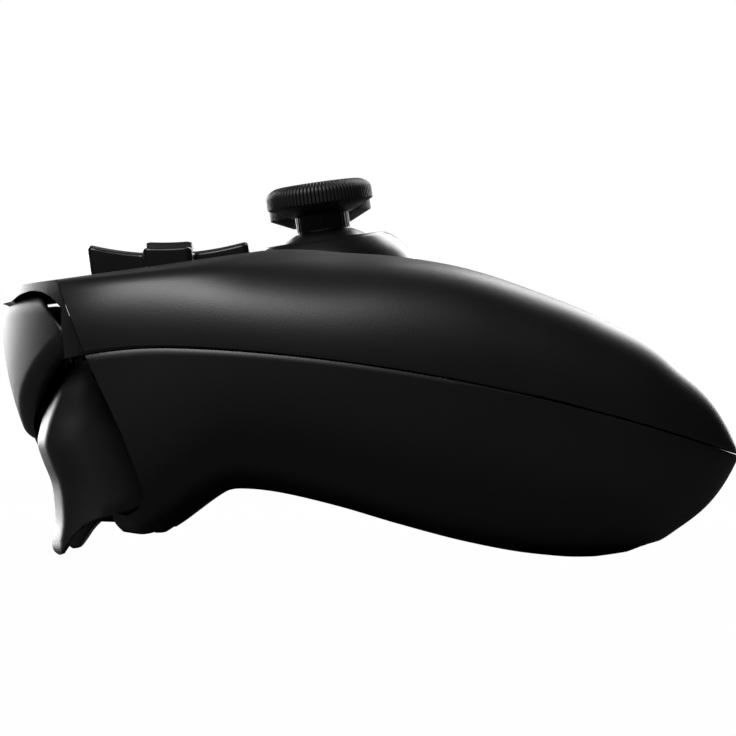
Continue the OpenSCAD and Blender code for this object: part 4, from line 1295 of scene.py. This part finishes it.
@dataclass
class Trigger:
    """Trigger: a smooth side outline carried across, with its front corner rounded in plan."""

    side: Side
    inner: float = 31.0
    outer: float = 56.5
    curve: float = 0.004
    corner: float = 5.0
    reach_x: Pair = (40.0, 52.0)
    wall: float = 1.8
    outer_wall: float = 3.0
    cheek_inset: float = 0.1
    cheek_outer: float = 0.9
    pivot: Pair = (39.0, 27.0)
    pin_r: float = 1.31
    hub: float = 2.6
    hub_open: Pair = (40.0, 47.0)
    edge: float = 0.5
    end_shrink: float = 0.035
    under_top: float = 8.0
    ground: float = 0.02
    outline: Array = field(default_factory=lambda: np.array([
        [42.6, 29, 0.2, 0], [43.4, 28.6, 0.3, 0], [45.3, 26.3, 0.6, 0], [46.9, 24, 0.8, 0],
        [48.3, 21, 1, 0], [49, 18.5, 1, 0], [49.2, 16.5, 1, 0], [48.4, 14, 1, 0], [47.2, 11, 1, 0],
        [46.7, 8, 1, 0], [46.6, 5, 1, 0], [47, 2.4, 1.06, 0], [46.9, 0.8, 1.06, 0], [46, 0, 1, 0],
        [45.2, 0.1, 0.9, 0], [44.2, 1.6, 0.78, 0], [43.3, 3, 0.67, 0], [41.7, 4.6, 0.48, 0],
        [40.1, 5.3, 0.28, 0], [37.8, 5.8, 0, 0], [36.1, 7.2, 0, 2.6], [35.2, 9.4, 0, 3.1],
        [35.2, 11.9, 0, 2.7], [36.9, 18.5, 0, 2.4], [40.6, 27, 0, 1.8], [41.3, 28.6, 0.1, 0.9]]))
    under: Array = field(default_factory=lambda: np.array([
        [36.1, 7.2], [37.8, 5.8], [40.1, 5.3], [41.7, 4.6], [43.3, 3], [44.2, 1.6], [45.2, 0.1], [46, 0]]))
    hollow: tuple[Pair, ...] = (
        (41.9, 26.2), (42.9, 24), (44, 21), (44.4, 18.5), (44.4, 16.5), (43.9, 14), (42.8, 11), (42.2, 8.4),
        (38.6, 7.9), (36.6, 9.4), (28, 10), (28, 31), (41, 31), (41.6, 28.2))
    cheek: tuple[Pair, ...] = (
        (41, 28.9), (39, 29.6), (36.6, 28), (35, 24), (34.8, 19.4), (37, 18), (43, 16), (42, 26))

    def build(self) -> Piece:
        """Closed spline of the outline at each X, set back along the key and round the corner.

        A point follows the set-back s(x) = curve (x - inner)^2 + corner - sqrt(corner^2 - d^2) by its
        own share, with d the way into the corner; the rear steps back by its reach on the outer side,
        and no point falls under the table of the underside.

        Returns:
            The trigger with cheeks, hub and pin hole.
        """
        bend = np.linspace(0.0, QUARTER, 14)
        x = np.concatenate([self.inner + self.edge * (1.0 - np.cos(bend)),
                            np.linspace(self.inner + self.edge, self.outer - self.corner, 36)[1:-1],
                            self.outer - self.corner * (1.0 - np.sin(bend))])
        into = np.minimum(np.maximum(x - self.outer + self.corner, 0.0), self.corner)
        back = self.curve * (x - self.inner) ** 2 + self.corner - np.sqrt(self.corner ** 2 - into ** 2)
        flat = closed_spline(self.outline, 260)
        y, z, follow, reach = (flat[None, :, i] for i in range(4))
        grid_y = y - np.maximum(follow, 0.0) * back[:, None]
        grid_y = grid_y - np.maximum(reach, 0.0) * ramp(x, *self.reach_x)[:, None]
        floor = np.where(reach > 0.05, 0.0, np.interp(grid_y, self.under[:, 0], self.under[:, 1]))
        grid_z = np.maximum(z, np.where(z < self.under_top, floor, 0.0) + self.ground)
        middle_y, middle_z = grid_y.mean(axis=1, keepdims=True), z.mean()
        end = np.minimum(np.minimum(x - x[0], x[-1] - x) / self.edge, 1.0)
        shrink = 1.0 - self.end_shrink * (1.0 - np.sqrt(1.0 - (1.0 - end) ** 2))[:, None]
        grid_y = middle_y + (grid_y - middle_y) * shrink
        grid_z = middle_z + (grid_z - middle_z) * shrink
        key = ring_loft("trigger", columns(x[:, None], grid_y, grid_z))
        first, last = self.inner + self.wall, self.outer - self.outer_wall
        carve(key, [prism("hollow", self.hollow, first, last)])
        inset, hub = self.cheek_inset, across(*self.pivot)
        parts = [prism("cheek", self.cheek, self.inner + inset, first - inset),
                 prism("cheek", self.cheek, last + inset, self.outer - self.cheek_outer),
                 rod("hub", self.hub, self.inner + self.wall / 2, self.hub_open[0], hub),
                 rod("hub", self.hub, self.hub_open[1], self.outer - self.outer_wall / 2, hub)]
        carve(key, parts, "UNION")
        carve(key, [rod("pin_hole", self.pin_r, self.inner - 1.0, self.outer + 1.0, hub)])
        return flipped(key, self.side, f"{self.side.word}_trigger_key")


def linear(colour: str) -> tuple[float, float, float, float]:
    """Linear colour of an sRGB hex value.

    Args:
        colour: a hash and six hex digits.

    Returns:
        Red, green, blue and an alpha of 1.
    """
    parts = np.array([int(colour[i:i + 2], 16) for i in (1, 3, 5)]) / 255.0
    bent = np.where(parts <= 0.04045, parts / 12.92, ((parts + 0.055) / 1.055) ** 2.4)
    return (*bent.tolist(), 1.0)


def add_node(tree: Tree, kind: str, values: dict | None = None, links: dict | None = None,
             **settings: object) -> bpy.types.Node:
    """Node with its settings, socket values and links.

    Args:
        tree: node tree it goes into.
        kind: type of the node, without its first two words.
        values: socket name or number to value.
        links: socket name or number to the output that feeds it.
        settings: attributes of the node.

    Returns:
        The new node.
    """
    node = tree.nodes.new("ShaderNode" + kind)
    for key, value in settings.items():
        setattr(node, key, value)
    for key, value in (values or {}).items():
        node.inputs[key].default_value = value
    for key, source in (links or {}).items():
        tree.links.new(source, node.inputs[key])
    return node


def new_tree(name: str) -> tuple[Material, Tree, bpy.types.Node]:
    """Empty material with its tree and output node.

    Args:
        name: name of the material.

    Returns:
        Material, tree and output node.
    """
    material = bpy.data.materials.new(name)
    material.use_nodes = True
    material.node_tree.nodes.clear()
    return material, material.node_tree, add_node(material.node_tree, "OutputMaterial")


# Size in millimetres of the slow patches in a moulded surface.
PATCH = 14.0


def per_mm(size: float) -> float:
    """Texture scale in metres whose pattern has the given size in millimetres."""
    return 1.0 / (size * MM)


@dataclass(frozen=True)
class Finish:
    """Procedural material with one principled shader on the object's own coordinates."""

    name: str
    colour: str

    def inputs(self, tree: Tree, place: Socket) -> tuple[dict, dict]:
        """Values and links of the shader; an even colour where a finish adds nothing."""
        return {"Base Color": linear(self.colour)}, {}

    def material(self) -> Material:
        """New material of the finish.

        Returns:
            The material.
        """
        material, tree, out = new_tree(self.name)
        place = add_node(tree, "TexCoord").outputs["Object"]
        shader = add_node(tree, "BsdfPrincipled", *self.inputs(tree, place))
        tree.links.new(shader.outputs["BSDF"], out.inputs["Surface"])
        return material


@dataclass(frozen=True)
class Moulded(Finish):
    """Moulded plastic or rubber: an even colour with the grain that the tool's surface leaves."""

    pale: str
    roughness: float
    uneven: float
    grain: float
    depth: float
    ior: float = 1.5

    def inputs(self, tree: Tree, place: Socket) -> tuple[dict, dict]:
        """Grain as bump, and slow patches in colour and gloss as flow and handling leave them.

        Args:
            tree: node tree of the material.
            place: the object's own coordinates.

        Returns:
            Socket values and links of the shader.
        """
        grit = add_node(tree, "TexNoise", {"Scale": per_mm(self.grain), "Detail": 2.0}, {"Vector": place})
        cloud = add_node(tree, "TexNoise", {"Scale": per_mm(PATCH), "Detail": 3.0}, {"Vector": place})
        tint = add_node(tree, "Mix", {"A": linear(self.colour), "B": linear(self.pale)},
                        {"Factor": cloud.outputs["Fac"]}, data_type="RGBA")
        low, high = self.roughness - self.uneven, self.roughness + self.uneven
        gloss = add_node(tree, "MapRange", {"To Min": low, "To Max": high}, {"Value": cloud.outputs["Fac"]})
        bump = add_node(tree, "Bump", {"Strength": 1.0, "Distance": self.depth * MM},
                        {"Height": grit.outputs["Fac"]})
        return {"IOR": self.ior}, {"Base Color": tint.outputs["Result"], "Roughness": gloss.outputs["Result"],
                                   "Normal": bump.outputs["Normal"]}


@dataclass(frozen=True)
class Metal(Finish):
    """Bare metal: fine drawn lines along X and a gloss that changes with them."""

    roughness: float
    line: float

    def inputs(self, tree: Tree, place: Socket) -> tuple[dict, dict]:
        """Stretched noise as drawing marks, in gloss and bump.

        Args:
            tree: node tree of the material.
            place: the object's own coordinates.

        Returns:
            Socket values and links of the shader.
        """
        turned = add_node(tree, "Mapping", {"Scale": (0.06, 1.0, 1.0)}, {"Vector": place})
        mark = add_node(tree, "TexNoise", {"Scale": per_mm(self.line), "Detail": 2.0},
                        {"Vector": turned.outputs["Vector"]}).outputs["Fac"]
        low, high = self.roughness - 0.08, self.roughness + 0.1
        gloss = add_node(tree, "MapRange", {"To Min": low, "To Max": high}, {"Value": mark})
        bump = add_node(tree, "Bump", {"Strength": 0.5, "Distance": 0.01 * MM}, {"Height": mark})
        return ({"Base Color": linear(self.colour), "Metallic": 1.0},
                {"Roughness": gloss.outputs["Result"], "Normal": bump.outputs["Normal"]})


@dataclass(frozen=True)
class SolderMask(Finish):
    """Printed circuit board: solder mask over copper, with paler tracks and tinned pads."""

    track: str
    pad: str

    def inputs(self, tree: Tree, place: Socket) -> tuple[dict, dict]:
        """Tracks as the joints of a brick pattern, pads as the middles of a cell pattern.

        Args:
            tree: node tree of the material.
            place: the object's own coordinates.

        Returns:
            Socket values and links of the shader.
        """
        mask = linear(self.colour)
        lines = add_node(tree, "TexBrick", {"Scale": per_mm(6.0), "Mortar Size": 0.03, "Color1": mask,
                                            "Color2": mask, "Mortar": linear(self.track)}, {"Vector": place})
        cells = add_node(tree, "TexVoronoi", {"Scale": per_mm(5.0)}, {"Vector": place})
        spot = add_node(tree, "Math", {1: 0.12}, {0: cells.outputs["Distance"]}, operation="LESS_THAN")
        spot = spot.outputs["Value"]
        tint = add_node(tree, "Mix", {"B": linear(self.pad)},
                        {"Factor": spot, "A": lines.outputs["Color"]}, data_type="RGBA")
        return {"Roughness": 0.35}, {"Base Color": tint.outputs["Result"], "Metallic": spot}


# Shells: ABS moulded in a spark-eroded tool, which gives a fine even grain and a soft wide sheen.
SHELL = Moulded("moulded_abs_spark_grain", "#0b0b0c", "#111112", 0.40, 0.03, 0.30, 0.010)
# Bumpers and triggers: ABS with a coarser grain for the fingertips, so its sheen is wider.
FINGER = Moulded("moulded_abs_coarse_grain", "#0b0b0c", "#111112", 0.50, 0.03, 0.22, 0.020)
# Bridge and brow: the same ABS from a finer tool, so its sheen is tighter than the shells'.
BRIDGE = Moulded("moulded_abs_fine_grain", "#0c0c0d", "#121213", 0.38, 0.02, 0.25, 0.004)
# Collars and buttons: ABS from a polished tool, with a satin gloss and hardly any grain.
COLLAR = Moulded("moulded_abs_satin", "#0b0b0c", "#101011", 0.28, 0.02, 0.25, 0.003)
BUTTON = Moulded("moulded_abs_button", "#0c0c0d", "#131314", 0.32, 0.02, 0.25, 0.004)
# Stems: acetal, which slides well and shows a waxy gloss.
STEM = Moulded("moulded_acetal", "#0a0a0b", "#0f0f10", 0.38, 0.03, 0.25, 0.004, 1.48)
# Caps: thermoplastic elastomer, matt and slightly grey where the light grazes it.
CAP = Moulded("moulded_elastomer", "#0b0b0c", "#101011", 0.5, 0.04, 0.30, 0.012, 1.5)
# Inside: silicone rubber membranes, ABS frames and the epoxy of the chips.
MEMBRANE = Moulded("moulded_silicone_rubber", "#4a4c4f", "#56585b", 0.6, 0.05, 0.4, 0.01, 1.41)
INNER = Moulded("moulded_abs_inner", "#161617", "#1d1d1e", 0.45, 0.04, 0.35, 0.008)
CHIP = Moulded("moulded_epoxy", "#141415", "#1b1b1c", 0.5, 0.05, 0.2, 0.006, 1.55)
# Light: opal acrylic, milky so that the lamp below it shows as an even spot.
LIGHT = Moulded("opal_acrylic", "#c9ced1", "#dde1e3", 0.25, 0.02, 0.5, 0.002, 1.49)
# Screws, springs and sockets: bright drawn steel.
STEEL = Metal("drawn_steel", "#b9bcbf", 0.28, 0.2)
# Hinge pins: blackened steel, so that their ends do not shine in the joint of a dark shell.
PIN = Metal("blackened_steel", "#1c1c1d", 0.45, 0.2)
# Battery cell: aluminium laminate, with a wide soft gloss.
FOIL = Metal("aluminium_laminate_foil", "#a9acb0", 0.42, 1.2)
# Boards: green solder mask on glass epoxy.
BOARD = SolderMask("solder_mask_on_glass_epoxy", "#0d3a20", "#1b5a35", "#b8b6ad")

SLOT_FINISH = {
    "shell_plastic": SHELL, "finger_grain": FINGER, "bridge_plastic": BRIDGE, "collar_plastic": COLLAR,
    "button_plastic": BUTTON, "stick_plastic": STEM, "cap_rubber": CAP, "membrane_rubber": MEMBRANE,
    "inner_plastic": INNER, "circuit_board": BOARD, "chip_epoxy": CHIP, "cell_foil": FOIL, "steel": STEEL,
    "pin_steel": PIN, "light_plastic": LIGHT}


@dataclass
class Wardrobe:
    """One material for each slot of the record, made once and given to pieces and CAD nodes."""

    made: dict[str, Material] = field(default_factory=dict)

    def of(self, slot: str) -> Material:
        """Material of a slot.

        Args:
            slot: slot or finish key.

        Returns:
            Its material, made at the first call.
        """
        if slot not in self.made:
            self.made[slot] = SLOT_FINISH[slot].material()
        return self.made[slot]

    def dress(self, piece: Piece, slot: str, body: str, *nodes: str, finish: str = "") -> None:
        """Gives a new piece the material of its slot, hangs it on its body and hides the CAD nodes it stands
        for.

        Args:
            piece: new piece.
            slot: material slot of the record.
            body: CAD body that it moves with.
            nodes: CAD nodes that it replaces.
            finish: key of its finish, where that is not the slot's own.
        """
        piece.data.materials.clear()
        piece.data.materials.append(self.of(finish or slot))
        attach(piece, body)
        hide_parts(*nodes)
        LOG.info("%s: %d faces on %s", piece.name, len(piece.data.polygons), body)

    def dress_nodes(self, kept: dict[str, str]) -> None:
        """Gives each CAD node that stays the material of its slot.

        Args:
            kept: slot to the names of its nodes; a star stands for left and right.
        """
        for slot, words in kept.items():
            names = [word.replace("*", f"{side.word}_") for word in words.split() for side in Side]
            for name in dict.fromkeys(names):
                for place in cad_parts[name].material_slots:
                    place.material = self.of(slot)


@dataclass
class Studio:
    """Camera at the photo's place, soft boxes behind and above, and a pale floor."""

    eye: Spot = (-1200.0, 4.7, 16.3)
    look: Spot = (1.0, -0.0045, 0.0101)
    focal_px: float = 7740.0
    image_px: float = 736.0
    sensor: float = 36.0
    clip: Pair = (0.05, 20.0)
    ambient: float = 0.03
    floor_half: float = 2500.0
    floor_colour: str = "#5a5a5a"
    floor_glow: float = 1.02
    floor_seen: float = 0.97
    lamps: tuple[tuple[str, Spot, Pair, float], ...] = (
        ("front_box", (990.0, 430.0, 170.0), (380.0, 420.0), 6.0),
        ("back_box", (800.0, -100.0, 75.0), (1400.0, 130.0), 1.6),
        ("grip_box", (680.0, -350.0, 430.0), (420.0, 640.0), 6.0),
        ("top_box", (-430.0, 330.0, 680.0), (640.0, 360.0), 7.0))
    aim: Spot = (0.0, 0.0, 28.0)

    def camera(self) -> None:
        """Long lens at the photo's distance, level, so that all sides keep their lengths."""
        data = bpy.data.cameras.new("camera")
        data.sensor_width = self.sensor
        data.lens = data.sensor_width * self.focal_px / self.image_px
        data.clip_start, data.clip_end = self.clip
        camera = link("camera", data)
        camera.location = Vector(self.eye) * MM
        camera.rotation_euler = Vector(self.look).to_track_quat("-Z", "Y").to_euler()
        bpy.context.scene.camera = camera

    def lights(self) -> None:
        """Soft boxes that face the controller, out of the camera's sight."""
        for name, spot, size, power in self.lamps:
            data = bpy.data.lights.new(name, "AREA")
            data.shape, data.size, data.size_y = "RECTANGLE", size[0] * MM, size[1] * MM
            data.energy = power
            lamp = link(name, data)
            lamp.location = Vector(spot) * MM
            lamp.visible_camera = False
            lamp.rotation_euler = (Vector(self.aim) - Vector(spot)).to_track_quat("-Z", "Y").to_euler()

    def world(self) -> None:
        """White to the camera, and a dim studio to the light that falls on the controller."""
        world = bpy.data.worlds.new("studio")
        bpy.context.scene.world = world
        world.use_nodes = True
        tree = world.node_tree
        tree.nodes.clear()
        path = add_node(tree, "LightPath")
        level = add_node(tree, "MapRange", {"To Min": self.ambient, "To Max": 1.0},
                         {"Value": path.outputs["Is Camera Ray"]})
        sky = add_node(tree, "Background", {"Color": linear("#ffffff")},
                       {"Strength": level.outputs["Result"]})
        out = add_node(tree, "OutputWorld")
        tree.links.new(sky.outputs["Background"], out.inputs["Surface"])

    def floor(self) -> None:
        """Pale floor, lifted to white for the camera, with the controller's shadow kept."""
        half = self.floor_half
        corners = half * np.array([[-1.0, -1.0, 0.0], [1.0, -1.0, 0.0], [1.0, 1.0, 0.0], [-1.0, 1.0, 0.0]])
        floor = make_piece("floor", corners, [[0, 1, 2, 3]])
        material, tree, out = new_tree("pale_floor")
        path = add_node(tree, "LightPath")
        matt = add_node(tree, "BsdfDiffuse", {"Color": linear(self.floor_colour)})
        glow = add_node(tree, "Emission", {"Color": linear("#ffffff"), "Strength": self.floor_glow})
        seen = add_node(tree, "Math", {1: self.floor_seen}, {0: path.outputs["Is Camera Ray"]},
                        operation="MULTIPLY")
        mix = add_node(tree, "MixShader", None, {0: seen.outputs["Value"], 1: matt.outputs["BSDF"],
                                                           2: glow.outputs["Emission"]})
        tree.links.new(mix.outputs["Shader"], out.inputs["Surface"])
        floor.data.materials.append(material)


def round_key(name: str, spot: Pair, size: float, top: float, crown: float, **more: float) -> Key:
    """Round key with a crowned top.

    Args:
        name: name of the key.
        spot: place on the face.
        size: diameter.
        top: height of its middle over the face frame.
        crown: radius of the crown.
        more: other sizes of the key.

    Returns:
        The key.
    """
    return Key(name, spot, lambda offset: circle(size / 2.0 + offset),
               lambda x, v: top - crown + np.sqrt(crown ** 2 - x * x - v * v), **more)


@dataclass
class FaceKeys:
    """Four face buttons, two menu buttons, the home button and the lens of the status light.

    A round key's size is its diameter, the height of its middle and the radius of its crown.
    """

    ring_spot: Pair = (40.5, 23.5)
    ring: float = 10.2
    button: Spot = (9.0, 1.6, 24.0)
    button_edge: float = 0.8
    north_back: float = 5.0
    menu_spot: Pair = (13.0, 25.0)
    menu: Pair = (8.4, 3.6)
    menu_top: Pair = (0.5, 120.0)
    home_spot: Pair = (0.0, 10.0)
    home: Spot = (9.0, 0.3, 60.0)
    lens_spot: Pair = (0.0, 17.5)
    lens: Spot = (2.4, -0.3, 6.0)

    def keys(self) -> list[Key]:
        """Keys that move: the ring of buttons, the two menu buttons and the home button.

        Returns:
            The keys.
        """
        ways = {"north": (0, 1), "east": (1, 0), "south": (0, -1), "west": (-1, 0)}
        (x, v), (high, flat) = self.ring_spot, self.menu_top
        keys = [round_key(f"{word}_key", (x + self.ring * dx, v + self.ring * dv), *self.button,
                          edge=self.button_edge, plunger_back=self.north_back if dv > 0 else 0.0)
                for word, (dx, dv) in ways.items()]
        keys += [Key(f"{side.word}_menu_key", (side.value * self.menu_spot[0], self.menu_spot[1]),
                     lambda offset: pill_outline(*(size + 2 * offset for size in self.menu)),
                     lambda x, v: high - (x * x + v * v) / flat, edge=0.5, flange=0.8, plunger=1.4)
                 for side in Side]
        return keys + [round_key("home_key", self.home_spot, *self.home, edge=0.5, flange=0.8, plunger=1.8)]

    def light(self) -> Key:
        """Lens of the status light, a light pipe down to the board."""
        return round_key("status_lens", self.lens_spot, *self.lens, edge=0.2, gap=0.03, flange=0.5,
                         flange_low=-8.0, flange_high=-3.6, plunger=1.7, foot=-13.0)


# CAD nodes that stay, by slot; a star stands for the left and the right one.
KEPT_NODES = {
    "circuit_board": "main_board trigger_sensors",
    "chip_epoxy": "board_chips stick_sensors",
    "cell_foil": "battery_cell",
    "steel": "usb_socket *stick_base stick_switches bumper_switches *trigger_spring *trigger_magnet "
             "housing_screws board_screws",
    "pin_steel": "*bumper_pin *trigger_pin",
    "inner_plastic": "*stick_carrier *stick_rocker *stick_post dpad_ball dpad_post *trigger_bracket",
    "membrane_rubber": "dpad_membrane button_membrane middle_membrane"}


def main() -> None:
    """Builds the studio and every sub-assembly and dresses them."""
    logging.basicConfig(level=logging.INFO, format="%(message)s")
    bpy.context.scene.view_settings.view_transform = "Standard"
    studio = Studio()
    studio.camera()
    studio.lights()
    studio.world()
    body, front, wardrobe = Body(), Front(), Wardrobe()
    sticks = [Stick(side) for side in Side]
    pad, face = DirectionPad(), FaceKeys()
    keys, light = face.keys(), face.light()
    shells = Shells(body, front, [pad.key(), light, *keys], sticks)
    wardrobe.dress(shells.top(), "shell_plastic", "housing", "top_shell")
    wardrobe.dress(shells.bottom(), "shell_plastic", "housing", "bottom_shell")
    wardrobe.dress(shells.bridge(), "bridge_plastic", "housing", "front_bridge")
    wardrobe.dress(pad.build(body), "button_plastic", "dpad", "dpad_cap")
    wardrobe.dress(light.cap(body), "light_plastic", "housing", "status_light")
    for key in keys:
        node = key.name.replace("_key", "_button")
        wardrobe.dress(key.cap(body), "button_plastic", node, node)
    for stick in sticks:
        word = stick.side.word
        wardrobe.dress(stick.make_collar(body), "collar_plastic", "housing", f"{word}_stick_collar")
        wardrobe.dress(stick.make_stem(body), "stick_plastic", f"{word}_stick", f"{word}_stick_stem")
        wardrobe.dress(stick.make_cap(body), "cap_rubber", f"{word}_stick", f"{word}_stick_cap")
    for side in Side:
        for piece, node in ((Bumper(side, front).build(), f"{side.word}_bumper"),
                            (Trigger(side).build(), f"{side.word}_trigger")):
            wardrobe.dress(piece, "shell_plastic", node, node, finish="finger_grain")
    wardrobe.dress_nodes(KEPT_NODES)
    studio.floor()


if __name__ == "__main__":
    main()
